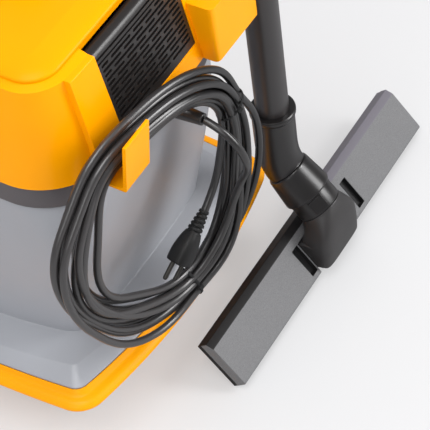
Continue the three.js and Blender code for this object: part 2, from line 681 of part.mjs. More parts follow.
const tilt = rad(elbow.tilt);
const toolDepth = tool.top + tool.coverDepth + tool.soleDepth;
const cuffEnd = elbow.cuffStart + cuff.length;
const ringEnd = cuffEnd + gap + cuff.ringLength;
const toolStart = ringEnd + gap;
const toolEnd = toolStart + tool.width;
const drop = (depth, reach) => reach * Math.cos(tilt) + depth * Math.sin(tilt);
const brushReach = toolEnd - tool.brushInset + tool.brushWidth / 2;
const bendHeight = Math.max(drop(toolDepth, toolEnd), drop(toolDepth + tool.brushProud, brushReach));

const wandGroup = new THREE.Group();
wandGroup.position.set(wand.x, wand.y, 0);
machine.add(wandGroup);

// In this group Z runs back up the bent part's axis and Y stands square off the floor tool's top face.
const bent = new THREE.Group();
bent.position.set(0, 0, bendHeight);
bent.rotation.x = tilt;
wandGroup.add(bent);

function buildTubes() {
  const bottom = bendHeight + elbow.collarTop - 40;
  const top = bottom + wand.lower;
  const shoulder = top - wand.socketDepth;
  const socketBore = wand.radius + gap;
  const lower = turned([
    [wand.bore, bottom], [wand.radius, bottom], [wand.radius, shoulder - 6], [wand.socketRadius, shoulder],
    [wand.socketRadius, top], [socketBore, top], [socketBore, shoulder], [wand.bore, shoulder - 3],
    [wand.bore, bottom],
  ], 28);
  addTo(wandGroup, 'wand_lower', lower, colours.dark, 0.4);
  const start = shoulder + gap;
  const upper = sleeve(wand.radius, wand.bore, start, start + wand.upper, 28);
  addTo(wandGroup, 'wand_upper', upper, colours.dark, 0.4);
}

function buildElbow() {
  const seat = bendHeight + elbow.collarTop - 40 - gap;
  const top = bendHeight + elbow.collarTop;
  const bore = wand.radius + gap;
  const r = elbow.collarRadius;
  const duct = wand.bore;
  const collar = turned([
    [duct, seat - 8], [r, seat - 8], [r, top - elbow.lipHeight - 2], [elbow.lipRadius - 0.6, top - elbow.lipHeight],
    [elbow.lipRadius, top - elbow.lipHeight + 1.2], [elbow.lipRadius, top - 1.2], [elbow.lipRadius - 1.2, top],
    [bore, top], [bore, seat], [duct, seat], [duct, seat - 8],
  ], 28);
  const down = new THREE.Vector3(0, Math.sin(tilt), -Math.cos(tilt));
  const bend = new THREE.Vector3(0, 0, bendHeight);
  const finish = bend.clone().addScaledVector(down, elbow.cuffStart - 1.2);
  const path = new THREE.QuadraticBezierCurve3(new THREE.Vector3(0, 0, seat - 7), bend, finish);
  const section = new THREE.Shape().absarc(0, 0, r, 0, Math.PI * 2);
  section.holes.push(new THREE.Path().absarc(0, 0, duct, 0, Math.PI * 2, true));
  const tube = solid(new THREE.ExtrudeGeometry(section, { steps: 6, curveSegments: 14, extrudePath: path }));
  const toBend = (body) => body.rotate([elbow.tilt, 0, 0]).translate([0, 0, bendHeight]);
  const spigotEnd = cuffEnd - 8;
  const spigot = toBend(turned([
    [duct, -spigotEnd], [elbow.spigot, -spigotEnd], [elbow.spigot, -elbow.cuffStart + 1.1],
    [duct, -elbow.cuffStart + 1.1], [duct, -spigotEnd],
  ], 28));
  const shoulder = toBend(sleeve(r, duct, -elbow.cuffStart + 1, -elbow.cuffStart + 3, 28));
  addTo(wandGroup, 'elbow_collar', join(collar, tube, shoulder, spigot), colours.dark, 0.45);
}

function buildCuff() {
  const bore = elbow.spigot + gap;
  const start = -elbow.cuffStart;
  const sleeveBody = turned([
    [bore, -cuffEnd], [cuff.end, -cuffEnd], [cuff.end, -cuffEnd + 4], [cuff.start + 0.8, start - 2],
    [cuff.start, start], [bore, start], [bore, -cuffEnd],
  ], 28);
  addTo(bent, 'swivel_cuff', sleeveBody, colours.dark, 0.4);
  const z1 = -cuffEnd - gap;
  const ring = sleeve(cuff.ring, bore, -ringEnd, z1, 28);
  const half = cuff.tabWidth / 2;
  const tab = box(-half, half, cuff.ring - 3, cuff.ring + cuff.tabRise, -ringEnd + 3, z1 - 2);
  addTo(bent, 'lock_ring', join(ring, tab.rotate([0, 0, 35])), colours.dark, 0.4);
}

const pivotY = -tool.top - neck.pivotDepth;
const pivotZ = -toolEnd + neck.pivotBack;

// Ring of the neck across the bent axis: half width and the heights of its top and bottom.
function neckRing(z, halfWidth, top, bottom, squareness) {
  const points = [];
  const count = 24;
  for (let i = 0; i < count; i += 1) {
    const angle = (2 * Math.PI * i) / count;
    const bend = (v) => Math.sign(v) * Math.abs(v) ** squareness;
    const y = (top + bottom) / 2 + ((top - bottom) / 2) * bend(Math.sin(angle));
    points.push(new THREE.Vector3(halfWidth * bend(Math.cos(angle)), y, z));
  }
  return points;
}

function buildNeck() {
  const half = neck.halfWidth;
  const floor = -tool.top + 3 * gap;
  const back = -toolStart;
  const reachZ = pivotZ - neck.drum * 0.75;
  const rings = [
    neckRing(reachZ, half - 3, -13, floor, 0.55),
    neckRing(pivotZ - 4, half, 1, floor, 0.6),
    neckRing(back - 26, half - 1, 15, floor, 0.7),
    neckRing(back - 13, half - 6, 22, floor, 0.85),
    neckRing(back - 2, cuff.ring + 0.6, cuff.ring, -cuff.ring, 1),
    neckRing(back, cuff.ring, cuff.ring, -cuff.ring, 1),
  ];
  const onPivot = (body) => alongX(body).translate([0, pivotY, pivotZ]);
  const drum = onPivot(rod(neck.drum, -half, half, 24));
  const soleLevel = -tool.top - tool.coverDepth + 1 - pivotY;
  const swept = [0, 15, 30, 45, 60].map((angle) => box(-half - 1, half + 1, soleLevel - 60, soleLevel, -60, 40)
    .rotate([angle, 0, 0]).translate([0, pivotY, pivotZ]));
  const spigot = sleeve(elbow.spigot, neck.duct, back - 1, -cuffEnd + 7.4, 28);
  const duct = rod(neck.duct, back - 24, -cuffEnd + 20, 24);
  const outlet = rod(neck.duct - 1.5, 0, 80, 24).rotate([90, 0, 0]).translate([0, 1, back - 24]);
  const pinHole = onPivot(rod(neck.pinRadius + gap, -half - 2, half + 2, 16));
  const body = cut(join(cut(join(loft(rings), drum), ...swept), spigot), duct, outlet, pinHole);
  addTo(bent, 'tool_neck', body, colours.dark, 0.45);
  const pinEnd = half + gap + 4.5;
  addTo(bent, 'neck_pivot_pin', onPivot(rod(neck.pinRadius, -pinEnd, pinEnd, 16)), colours.steel, 0.3, 0.9);
}

function buildTool() {
  const half = tool.length / 2;
  const top = -tool.top;
  const bottom = top - tool.coverDepth;
  const e = tool.edge;
  const side = [
    [bottom, -toolStart], [top - e, -toolStart], [top, -toolStart - e], [top, -toolEnd + e], [top - e, -toolEnd],
    [bottom, -toolEnd],
  ];
  const inner = half - tool.skin;
  const shell = cut(sideProfile(side, -half, half),
    box(-inner, inner, bottom - 1, top - tool.skin, -toolEnd + tool.skin, -toolStart - tool.skin));
  const notchHalf = neck.halfWidth + gap;
  const notchBack = pivotZ + neck.drum + 3 * gap;
  const cheek = 4;
  const pocketZ = [pivotZ - 15, notchBack];
  const cheeks = [1, -1].flatMap((s) => [
    [s * (notchHalf - 1), s * (notchHalf + cheek), -toolEnd + 0.5],
    [s * (notchHalf + cheek - 1), s * (tool.pocketOuter + 2), pocketZ[0] - 2],
  ].map(([a, b, z]) => box(Math.min(a, b), Math.max(a, b), bottom, top - 0.5, z, notchBack + 2)));
  const backWall = box(-notchHalf - 2, notchHalf + 2, bottom, top - 0.5, notchBack, notchBack + 3);
  const notch = box(-notchHalf, notchHalf, bottom - 2, top + 2, -toolEnd - 2, notchBack);
  const pockets = [1, -1].map((s) => {
    const [a, b] = [s * (notchHalf + cheek), s * tool.pocketOuter];
    return box(Math.min(a, b), Math.max(a, b), top - tool.pocketDepth, top + 1, pocketZ[0], pocketZ[1]);
  });
  const duct = box(-neck.duct, neck.duct, bottom - 1, top - 6, notchBack - 1, notchBack + 4);
  const pinBore = alongX(rod(neck.pinRadius + gap, -notchHalf - 5, notchHalf + 5, 16));
  const pinHole = pinBore.translate([0, pivotY, pivotZ]);
  const coverSolid = cut(join(shell, ...cheeks, backWall), notch, ...pockets, duct, pinHole);
  addTo(bent, 'tool_cover', coverSolid, colours.toolGrey, 0.6);

  const soleTop = bottom - gap;
  const soleBottom = -toolDepth;
  let sole = box(-half + 0.5, half - 0.5, soleBottom, soleTop, -toolEnd, -toolStart - 0.5);
  const middle = -(toolStart + toolEnd) / 2;
  const mouth = box(-half + tool.slotEnd, half - tool.slotEnd, soleBottom - 1, soleTop + 1,
    middle - tool.slot / 2, middle + tool.slot / 2);
  sole = cut(sole, mouth);
  const brushes = { inner: -toolStart - tool.brushInset, outer: -toolEnd + tool.brushInset };
  for (const [name, z] of Object.entries(brushes)) {
    const b = tool.brushWidth / 2;
    const channel = box(-half + 8, half - 8, soleBottom - 1, soleBottom + 3.5, z - b - gap, z + b + gap);
    sole = cut(sole, channel);
    const strip = box(-half + 8.5, half - 8.5, -toolDepth - tool.brushProud, soleBottom + 3, z - b, z + b);
    addTo(bent, `brush_strip_${name}`, strip, colours.rubber, 0.9);
  }
  addTo(bent, 'sole_plate', sole, colours.dark, 0.6);
}

// ---------- mains lead ----------

// In this group X runs across the coil's plane, Y stands out of it and Z is up.
const coilGroup = new THREE.Group();
coilGroup.position.set(coil.hookX, coil.hookY, 0);
coilGroup.rotation.z = -rad(coil.swing);
machine.add(coilGroup);

// Middle radius and half width of the ring at an angle, smooth through its listed rows.
function ringAt(degrees) {
  const rows = coil.ring;
  const count = rows.length;
  const turn = ((degrees % 360) + 360) % 360;
  const i = rows.findLastIndex((row) => row[0] <= turn);
  const row = (k) => rows[(k + count) % count];
  const span = (row(i + 1)[0] - row(i)[0] + 360) % 360;
  const t = (turn - row(i)[0]) / span;
  const smooth = (column) => {
    const [a, b, c, d] = [-1, 0, 1, 2].map((k) => row(i + k)[column]);
    return b + 0.5 * t * (c - a + t * (2 * a - 5 * b + 4 * c - d + t * (3 * (b - c) + d - a)));
  };
  return { radius: smooth(1), halfWidth: smooth(2) };
}

function buildCoil() {
  const [around, across] = [40, 8];
  const geometry = new THREE.TorusGeometry(2, 1, across, around);
  const position = geometry.attributes.position;
  for (let k = 0; k < position.count; k += 1) {
    const around01 = geometry.attributes.uv.getX(k) % 1;
    const section = geometry.attributes.uv.getY(k) * 2 * Math.PI;
    const { radius, halfWidth } = ringAt(around01 * 360);
    const r = radius + halfWidth * Math.cos(section);
    const angle = around01 * 2 * Math.PI;
    position.setXYZ(k, coil.centreAcross + r * Math.cos(angle), -coil.halfDepth * Math.sin(section),
      coil.centreHeight + r * Math.sin(angle));
  }
  addTo(coilGroup, 'cord_coil', solid(geometry), colours.rubber, 0.5);
}

function cordTube(route) {
  const path = new THREE.CatmullRomCurve3(route.map(([x, y, z]) => new THREE.Vector3(x, y, z)));
  const section = new THREE.Shape().absarc(0, 0, cord.radius, 0, Math.PI * 2);
  const steps = Math.max(3, Math.round(path.getLength() / (cord.radius * 4.5)));
  return solid(new THREE.ExtrudeGeometry(section, { steps, curveSegments: cord.sides, extrudePath: path }));
}

function buildTie(angle, name) {
  const { radius, halfWidth } = ringAt(angle);
  const loop = (by) => new THREE.Path().absellipse(0, 0, halfWidth + by, coil.halfDepth + by, 0, Math.PI * 2);
  const shape = new THREE.Shape(loop(tie.clearance + tie.band).getPoints(9));
  shape.holes.push(new THREE.Path(loop(tie.clearance).getPoints(9)));
  const strap = solid(new THREE.ExtrudeGeometry(shape, { depth: tie.width, bevelEnabled: false }))
    .translate([0, 0, -tie.width / 2]);
  const y = coil.halfDepth + tie.clearance;
  const [across, up] = [tie.headLength / 2, tie.width / 2 + 0.8];
  const block = box(-across, across, y + 0.4, y + tie.headDepth, -up, up);
  const group = new THREE.Group();
  group.position.set(coil.centreAcross + radius * Math.cos(rad(angle)), 0,
    coil.centreHeight + radius * Math.sin(rad(angle)));
  group.rotation.y = -rad(angle);
  coilGroup.add(group);
  addTo(group, name, join(strap, block), colours.rubber, 0.5);
}

// In this group Z runs from the cord's entry towards the pins and Y stands out of the coil's plane.
function buildPlug() {
  const group = new THREE.Group();
  group.position.set(plug.across, 0, plug.height);
  group.rotation.y = rad(90 - plug.angle);
  coilGroup.add(group);
  const { bootLength: b, bodyLength: l, bodyHalfWidth: w, bodyHalfDepth: d, neckRadius } = plug;
  const { bootRadius, pinRadius, pinLength } = plug;
  const boot = turned([[0, 0], [bootRadius - 1, 0], [bootRadius, 2], [neckRadius, b + 4], [0, b + 4]], 16);
  const outline = (z, halfW, halfD) => neckRing(z, halfW, halfD, -halfD, 0.7);
  const body = loft([
    outline(b, neckRadius, neckRadius), outline(b + 8, w * 0.86, d * 0.86), outline(b + l * 0.6, w, d),
    outline(b + l - 2, w, d), outline(b + l, w - 2, d - 2),
  ]);
  const end = b + l;
  const pinHole = rod(pinRadius + gap, end - 8, end + 1, 12);
  const aside = (body, s) => body.translate([0, (s * plug.pinSpacing) / 2, 0]);
  const holes = [1, -1].map((s) => aside(pinHole, s));
  addTo(group, 'plug_body', cut(join(boot, body), ...holes), colours.rubber, 0.55);
  const tip = end + pinLength;
  const pin = turned([
    [0, end - 7], [pinRadius, end - 7], [pinRadius, tip - 1.5], [pinRadius - 1, tip], [0, tip],
  ], 12);
  addTo(group, 'plug_pin_1', aside(pin, 1), colours.steel, 0.25, 0.9);
  addTo(group, 'plug_pin_2', aside(pin, -1), colours.steel, 0.25, 0.9);
}

// ---------- assembly ----------

buildBase();
casterPlaces().forEach(([x, y], i) => buildCaster(i + 1, x, y));
buildTank();
buildSeal();
buildInlet();
buildLatch(1, 'right');
buildLatch(-1, 'left');
buildBand();
buildShroud();
buildGrille();
buildCover();
buildHandle();
buildHook();
buildHolder();
buildRelief();
buildSwitch();
buildMotor();
buildCage();
buildFilter();
buildTubes();
buildElbow();
buildCuff();
buildNeck();
buildTool();
buildCoil();
addTo(coilGroup, 'cord_lead', cordTube(leadRoute), colours.rubber, 0.5);
addTo(coilGroup, 'cord_tail', cordTube(tailRoute), colours.rubber, 0.5);
tie.angles.forEach((angle, i) => buildTie(angle, `cord_tie_${i + 1}`));
buildPlug();

// The origin goes under the middle of the machine and its parked wand, without the loose lead.
machine.updateMatrixWorld(true);
const extent = new THREE.Box3();
const onTheLead = /^(cord_(lead|tail|coil|tie)|plug_)/;
machine.traverse((object) => {
  if (object.isMesh && !onTheLead.test(object.name)) extent.expandByObject(object, true);
});
const centre = extent.getCenter(new THREE.Vector3());
machine.position.set(-centre.x, -centre.y, -extent.min.z);

const part = new THREE.Group();
part.add(machine);
export default part;
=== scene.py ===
# %% [markdown]
# # A shop vacuum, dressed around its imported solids
# The solids give every place and every joint. This script adds what the eye looks for: the long
# mains lead in its coil, moulded shells with soft edges, and plastics with their grain.
# Sizes are worked out in millimetres about the middle of the machine's base, as the maker's
# drawing gives them, and one function carries them over to the model's own frame in metres.

import json

import bpy
import numpy as np
from mathutils import Matrix, Vector


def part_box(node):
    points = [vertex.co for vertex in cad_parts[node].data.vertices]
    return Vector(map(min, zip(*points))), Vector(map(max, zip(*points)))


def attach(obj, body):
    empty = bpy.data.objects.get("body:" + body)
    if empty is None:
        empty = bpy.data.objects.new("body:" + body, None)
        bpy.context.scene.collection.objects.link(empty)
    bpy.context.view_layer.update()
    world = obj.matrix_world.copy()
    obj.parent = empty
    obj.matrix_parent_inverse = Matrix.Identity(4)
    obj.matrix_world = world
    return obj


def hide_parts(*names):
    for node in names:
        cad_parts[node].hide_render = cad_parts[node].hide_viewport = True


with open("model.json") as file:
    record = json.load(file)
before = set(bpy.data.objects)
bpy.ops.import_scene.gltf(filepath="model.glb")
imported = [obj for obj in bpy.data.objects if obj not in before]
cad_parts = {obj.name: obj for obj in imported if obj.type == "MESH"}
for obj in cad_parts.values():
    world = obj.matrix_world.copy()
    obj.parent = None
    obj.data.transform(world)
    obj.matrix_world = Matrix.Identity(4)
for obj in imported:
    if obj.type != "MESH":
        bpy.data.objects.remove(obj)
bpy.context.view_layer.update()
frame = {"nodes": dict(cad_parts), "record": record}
low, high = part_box("wand_upper")
WAND = np.array([-156.0, 203.5])
origin = np.array([(low.x + high.x) / 2, (low.y + high.y) / 2, 0]) - np.append(WAND, 0) / 1000
print("machine's own middle, in the frame:", origin.round(4))


def placed(points):
    """Machine millimetres to frame metres: a thousandth of each, plus the middle's place."""
    return np.asarray(points, float) / 1000 + origin


# %% [markdown]
# ## Camera
# A steep three-quarter view of the rear corner, from a little under two metres, through a long
# lens, which keeps upright edges nearly parallel. It could be aimed with a tracking
# constraint, but that would fix its roll too, and this view is rolled a little.
# The three rows of the turn are where the view's right, up and back point in the room.

# %% Camera
VIEW_RIGHT = (-0.5096, 0.8542, -0.1034)
VIEW_UP = (-0.6894, -0.3334, 0.6433)
VIEW_BACK = (0.5148, 0.3991, 0.7586)
camera_data = bpy.data.cameras.new("camera")
camera_data.sensor_width = 36
camera_data.lens = 149.9
camera_data.shift_x = 0.0047
camera_data.shift_y = -0.0023
camera_data.clip_end = 20
camera = bpy.data.objects.new("camera", camera_data)
turn = np.eye(4)
turn[:3, :3] = np.array([VIEW_RIGHT, VIEW_UP, VIEW_BACK]).T
turn[:3, 3] = placed([890, 917, 1530])
camera.matrix_world = Matrix(turn.tolist())
bpy.context.scene.collection.objects.link(camera)
bpy.context.scene.camera = camera
print("camera at", turn[:3, 3].round(3))

# %% [markdown]
# ## Mesh tools
# A part in the making is just points, in machine millimetres, and faces. The tools here draw the
# four shapes that nearly every moulding is made of: a skin through a stack of rings, a turned body,
# a flat outline carried along an axis, and one part cut from another.

# %% Rounded chains
def soft(chain, radius, closed=False, steps=4):
    """Rounds the corners of a chain of points or of whole rings.

    Corner P between A and B, both `radius` away on its two stretches, becomes the parabola
    (1 - t)^2 A + 2 t (1 - t) P + t^2 B. A short stretch gives nearly half its length.
    """
    p = np.asarray(chain, float)
    shape = (len(p),) + (1,) * (p.ndim - 1)
    radius = np.broadcast_to(np.asarray(radius, float), len(p)).reshape(shape)

    def towards(other):
        """The point `radius` along each corner's stretch to its neighbour."""
        reach = other - p
        length = np.maximum(np.linalg.norm(reach, axis=-1, keepdims=True), 1e-9)
        return p + reach / length * np.minimum(radius, 0.45 * length)

    a, b = towards(np.roll(p, 1, 0))[:, None], towards(np.roll(p, -1, 0))[:, None]
    t = np.linspace(0, 1, steps + 1).reshape((1, -1) + (1,) * (p.ndim - 1))
    curve = (1 - t) ** 2 * a + 2 * t * (1 - t) * p[:, None] + t**2 * b
    if closed:
        return curve.reshape((-1,) + p.shape[1:])
    return np.concatenate([p[:1], curve[1:-1].reshape((-1,) + p.shape[1:]), p[-1:]])


print("a softened square has", len(soft([(0, 0), (9, 0), (9, 9), (0, 9)], 2, closed=True)), "points")

# %% [markdown]
# Most of the machine is a stack of level outlines, and round parts are a stack of circles.
# Blender can loft such rings by hand, bridge by bridge. Worked out as one array of numbers, a
# stack of any height is a single call, and its ends are capped, so that every part is closed and
# can be cut.

# %% Skins through rings
def stack(rings, closed=False):
    """A skin through rings, each anticlockwise seen from the top of the stack: capped, or closed on itself.

    Face (i, j) joins points j and j + 1 of ring i with the same two of ring i + 1.
    """
    rings = np.asarray(rings, float)
    rows, columns = rings.shape[:2]
    i, j = np.meshgrid(np.arange(rows if closed else rows - 1), np.arange(columns), indexing="ij")
    i, j = i.ravel(), j.ravel()
    i1, j1 = (i + 1) % rows, (j + 1) % columns
    faces = np.stack([i * columns + j, i * columns + j1, i1 * columns + j1, i1 * columns + j], 1).tolist()
    if not closed:
        faces += [list(range(columns))[::-1], list(range((rows - 1) * columns, rows * columns))]
    return rings.reshape(-1, 3), faces


wedge = stack([[(0, 0, z), (1, 0, z), (0, 1, z)] for z in (0, 1)])
print("a skin through two triangles:", len(wedge[1]), "faces")

# %% [markdown]
# Wheels, pins, tubes and spigots are round. Each is a profile of a few points turned about Z, and
# is laid over afterwards if its axis lies level. A bar needs its chamfers and a tube its rounded
# rims, or they would look sawn off, so those come with the shape.

# %% Turned bodies
def lathe(profile, steps=64):
    """Turned about Z: each point (r, z) of the profile becomes the ring (r cos a, r sin a, z).

    A profile that comes back to its start gives a hoop with no caps.
    """
    profile = np.asarray(profile, float)
    closed = bool(np.allclose(profile[0], profile[-1]))
    r, z = (profile[:-1] if closed else profile).T[:, :, None]
    a = np.linspace(0, 2 * np.pi, steps, endpoint=False)
    return stack(np.stack([r * np.cos(a), r * np.sin(a), z + 0 * a], 2), closed)


def rod(radius, start, end, edge=0.5, steps=48):
    """A round bar along Z with a small chamfer at each end."""
    e = min(edge, radius / 2)
    return lathe([(radius - e, start), (radius, start + e), (radius, end - e), (radius - e, end)], steps)


def hoop(section, radius, steps=72, fine=4):
    """A closed section of (radius, height) points, its corners softened, turned about Z."""
    loop = soft(section, radius, closed=True, steps=fine)
    return lathe(np.vstack([loop, loop[:1]]), steps)


def sleeve(outer, inner, start, end, edge=0.6, steps=64):
    """A tube along Z, its four edges softened."""
    return hoop([(inner, start), (outer, start), (outer, end), (inner, end)], edge, steps, 3)


print("a tube's skin:", len(sleeve(17.5, 16, 0, 100)[1]), "faces")

# %% [markdown]
# Plates, claws and clips are flat outlines with a thickness. The outline may lie in any of the
# three planes, and is turned round first if it runs clockwise, because a cut needs every face to
# point outwards.

# %% Outlines carried along an axis
def prism(outline, low, high, axis="z"):
    """A flat outline carried along an axis: (x, y) along z, (y, z) along x, or (x, z) along -y."""
    u, v = np.asarray(outline, float).T
    if np.sum(u * np.roll(v, -1) - v * np.roll(u, -1)) < 0:
        u, v = u[::-1], v[::-1]
    rings = [np.stack([u, v, np.full_like(u, w)], 1) for w in (low, high)]
    points, faces = stack(rings)
    x, y, z = points.T
    return np.stack({"z": (x, y, z), "x": (z, x, y), "y": (x, -z, y)}[axis], 1), faces


def block(x0, x1, y0, y1, z0, z1, corner=0.0):
    """A box between six planes; its upright edges may be rounded."""
    outline = [(x0, y0), (x1, y0), (x1, y1), (x0, y1)]
    return prism(soft(outline, corner, closed=True) if corner else outline, z0, z1)


print("a block's skin:", len(block(0, 1, 0, 1, 0, 1)[1]), "faces")

# %% [markdown]
# A part is drawn where its numbers are simplest, upright and centred, and then turned and moved to
# its place. Moving its points, and not a Blender object, leaves every finished object unturned at
# the origin, which keeps the grain of its plastic the right way round.

# %% Moving and joining parts
def turn_about(axis, degrees):
    """The matrix of a turn about a named axis, by the right-hand rule."""
    return np.array(Matrix.Rotation(np.radians(degrees), 3, axis))


def moved(part, where=(0, 0, 0), turn=np.eye(3)):
    """Each point p becomes turn p + where."""
    points, faces = part
    return points @ np.asarray(turn).T + np.asarray(where, float), faces


def joined(*parts):
    """Several parts as one: each face's numbers go up by the points that came before."""
    starts = np.cumsum([0] + [len(points) for points, _ in parts])
    faces = [[start + k for k in face] for start, (_, part) in zip(starts, parts) for face in part]
    return np.vstack([points for points, _ in parts]), faces


def alongside(part):
    """Turns +Z to +Y."""
    return moved(part, turn=turn_about("X", -90))


def crossways(part):
    """Turns +Z to +X."""
    return moved(part, turn=turn_about("Y", 90))


pair = joined(block(0, 1, 0, 1, 0, 1), moved(block(0, 1, 0, 1, 0, 1), (2, 0, 0)))
print("two blocks joined:", len(pair[0]), "points")

# %% [markdown]
# Bores, windows and slots are cut, not drawn round, for an exact boolean keeps a shell closed
# whatever is taken from it. Each cut is worked out at once and handed back as points and faces,
# so no hidden knife stays in the scene.

# %% Cutting parts
def bare_object(name, part):
    """A mesh object straight from a part, with no finish yet."""
    mesh = bpy.data.meshes.new(name)
    mesh.from_pydata(part[0].tolist(), [], part[1])
    thing = bpy.data.objects.new(name, mesh)
    bpy.context.scene.collection.objects.link(thing)
    return thing


def carved(part, *tools):
    """One closed part less each of the others in turn, worked out at once and handed back as a part."""
    for tool in tools:
        body, knife = bare_object("blank", part), bare_object("knife", tool)
        change = body.modifiers.new("cut", "BOOLEAN")
        change.operation, change.solver, change.object = "DIFFERENCE", "EXACT", knife
        bpy.context.view_layer.update()
        result = body.evaluated_get(bpy.context.evaluated_depsgraph_get()).to_mesh()
        points = np.empty(len(result.vertices) * 3)
        result.vertices.foreach_get("co", points)
        part = points.reshape(-1, 3), [list(face.vertices) for face in result.polygons]
        for thing in (body, knife):
            mesh = thing.data
            bpy.data.objects.remove(thing)
            bpy.data.meshes.remove(mesh)
    return part


print("a bored block has", len(carved(block(-9, 9, -9, 9, 0, 9), rod(5, -1, 10))[1]), "faces")

# %% [markdown]
# A moulded edge is never a knife's edge. A narrow bevel catches the light as the real radius
# does, and costs less than modelling it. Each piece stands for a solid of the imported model, so
# its body and its slot are looked up there and can't disagree with it.

# %% From a part to a finished piece
def piece(name, part, *solids, material=None, edge=0.0, smooth=32, segments=3):
    """Makes the object that stands for one or more solids, on their body and in their slot.

    It takes the slot's own finish unless another is given.
    """
    slot = SLOTS[solids[0]]
    thing = bare_object(name, (placed(part[0]), part[1]))
    thing.data.shade_smooth()
    thing.data.set_sharp_from_angle(angle=np.radians(smooth))
    if edge:
        rounding = thing.modifiers.new("edge", "BEVEL")
        rounding.width = edge / 1000
        rounding.segments = segments
        rounding.limit_method = "ANGLE"
        rounding.angle_limit = np.radians(smooth)
        rounding.harden_normals = True
    thing.data.materials.append(material or SOLID_FINISH[slot])
    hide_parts(*solids)
    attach(thing, BODIES[solids[0]])
    print(f"{name}: {len(part[1])} faces on {BODIES[solids[0]]}, {slot}")
    return thing


SLOTS = {row["node"]: row["material_slot"] for row in frame["record"]["subparts"]}
BODIES = {node: body for body, nodes in frame["record"]["behaviour"]["bodies"].items() for node in nodes}


# %% [markdown]
# ## Plastics
# A material is a small tree of nodes, each fed by numbers or by other nodes. It could be wired by
# hand in the editor. Written out, the same few helpers wire every finish, the floor and the sky.

# %% Shader nodes
def fill(tree, made, inputs):
    """Gives a node's inputs, by name or number, their values or links them to other nodes' outputs."""
    for name, value in inputs.items():
        if isinstance(value, bpy.types.NodeSocket):
            tree.links.new(value, made.inputs[name])
        else:
            made.inputs[name].default_value = value


def node(tree, kind, output, inputs={}, **options):
    """Adds one shader node and hands back one of its outputs."""
    made = tree.nodes.new("ShaderNode" + kind)
    for name, value in options.items():
        setattr(made, name, value)
    fill(tree, made, inputs)
    return made.outputs[output]


print("slots to finish:", sorted(set(SLOTS.values())))

# %% [markdown]
# Colours are written as a screen shows them, because that is how a maker judges them, and turned
# into light for the shader. Patterns come as shares from 0 to 1, which one helper carries over to
# any range and another uses to mix two colours.

# %% Colours and patterns
def noise(tree, where, scale, detail=2.0, roughness=0.5):
    """A noise pattern on the piece's own coordinates, in cycles per metre."""
    inputs = {"Vector": where, "Scale": scale, "Detail": detail, "Roughness": roughness}
    return node(tree, "TexNoise", "Fac", inputs)


def spread(tree, factor, low, high):
    """Carries a 0-1 pattern over to low-high."""
    return node(tree, "MapRange", "Result", {"Value": factor, "To Min": low, "To Max": high})


def light_of(colour, by=1.0):
    """A 0-255 screen colour as the shader's light: (c / 255)^2.2 times a factor, and at most 1."""
    return (*np.minimum((np.array(colour) / 255) ** 2.2 * by, 1), 1)


def mixed(tree, factor, paint, other, clamp=False):
    """From one colour towards another by a factor, which may go below 0 unless clamped."""
    inputs = {"Factor": factor, "A": paint, "B": other}
    return node(tree, "Mix", "Result", inputs, data_type="RGBA", clamp_factor=clamp)


def painted_light_share(tree, where, painted_light_span):
    """The share of painted light along X: 0 before the first X place of the pair, 1 beyond the second, and
    eased between.
    """
    start, end = np.array(painted_light_span) / 1000 + origin[0]
    across = node(tree, "SeparateXYZ", "X", {"Vector": where})
    inputs = {"Value": across, "From Min": start, "From Max": end}
    return node(tree, "MapRange", "Result", inputs, interpolation_type="SMOOTHSTEP")


print("a mid grey, as light:", round(float(light_of((128, 128, 128))[0]), 3))

# %% [markdown]
# Moulded plastic is never one flat colour: its tint and gloss wander over a few centimetres, and
# a fine grain breaks its highlights. Noise on the piece's own coordinates, in metres, gives all
# three and needs no unwrapping. Rubber and steel use the same bones with other numbers.

# %% A moulded finish
def finish(name, colour, roughness=0.4, grain=0.0, grain_scale=2500, wander=0.05, tint=0.04, metal=0.0,
           shine=0.5, speckle=0.0, far_painted_light=None, painted_light_span=(-136, -196)):
    """A procedural plastic, rubber or metal. Colour is 0-255 as it should look; tint is how far it wanders.

    speckle mottles it finely; the far colour, if given, is painted light, lighter or darker than the colour,
    that takes over between the two X places of its span.
    """
    material = bpy.data.materials.new(name)
    material.use_nodes = True
    tree = material.node_tree
    where = node(tree, "TexCoord", "Object")
    darker, paler = light_of(colour, 1 - tint), light_of(colour, 1 + tint)
    paint = mixed(tree, noise(tree, where, 14, 3), darker, paler, clamp=True)
    # Painted light: the far colour, lighter or darker, eased in along X.
    if far_painted_light:
        paint = mixed(tree, painted_light_share(tree, where, painted_light_span), paint, light_of(far_painted_light))
    if speckle:
        specks = spread(tree, noise(tree, where, 900, 3, 0.7), -speckle, speckle * 1.4)
        paint = mixed(tree, specks, paint, (1, 1, 1, 1))
    patches = spread(tree, noise(tree, where, 45, 4, 0.6), roughness - wander, roughness + wander)
    looks = {"Metallic": metal, "Specular IOR Level": shine, "Base Color": paint, "Roughness": patches}
    if grain:
        looks["Normal"] = node(tree, "Bump", "Normal", {
            "Strength": grain, "Distance": 0.0002, "Height": noise(tree, where, grain_scale, 2, 0.6)})
    fill(tree, tree.nodes["Principled BSDF"], looks)
    return material


yellow = finish("yellow_gloss", (255, 160, 0), 0.24, 0.03, 1600, shine=0.1)
print("the shroud's yellow is wired from", len(yellow.node_tree.nodes), "nodes")
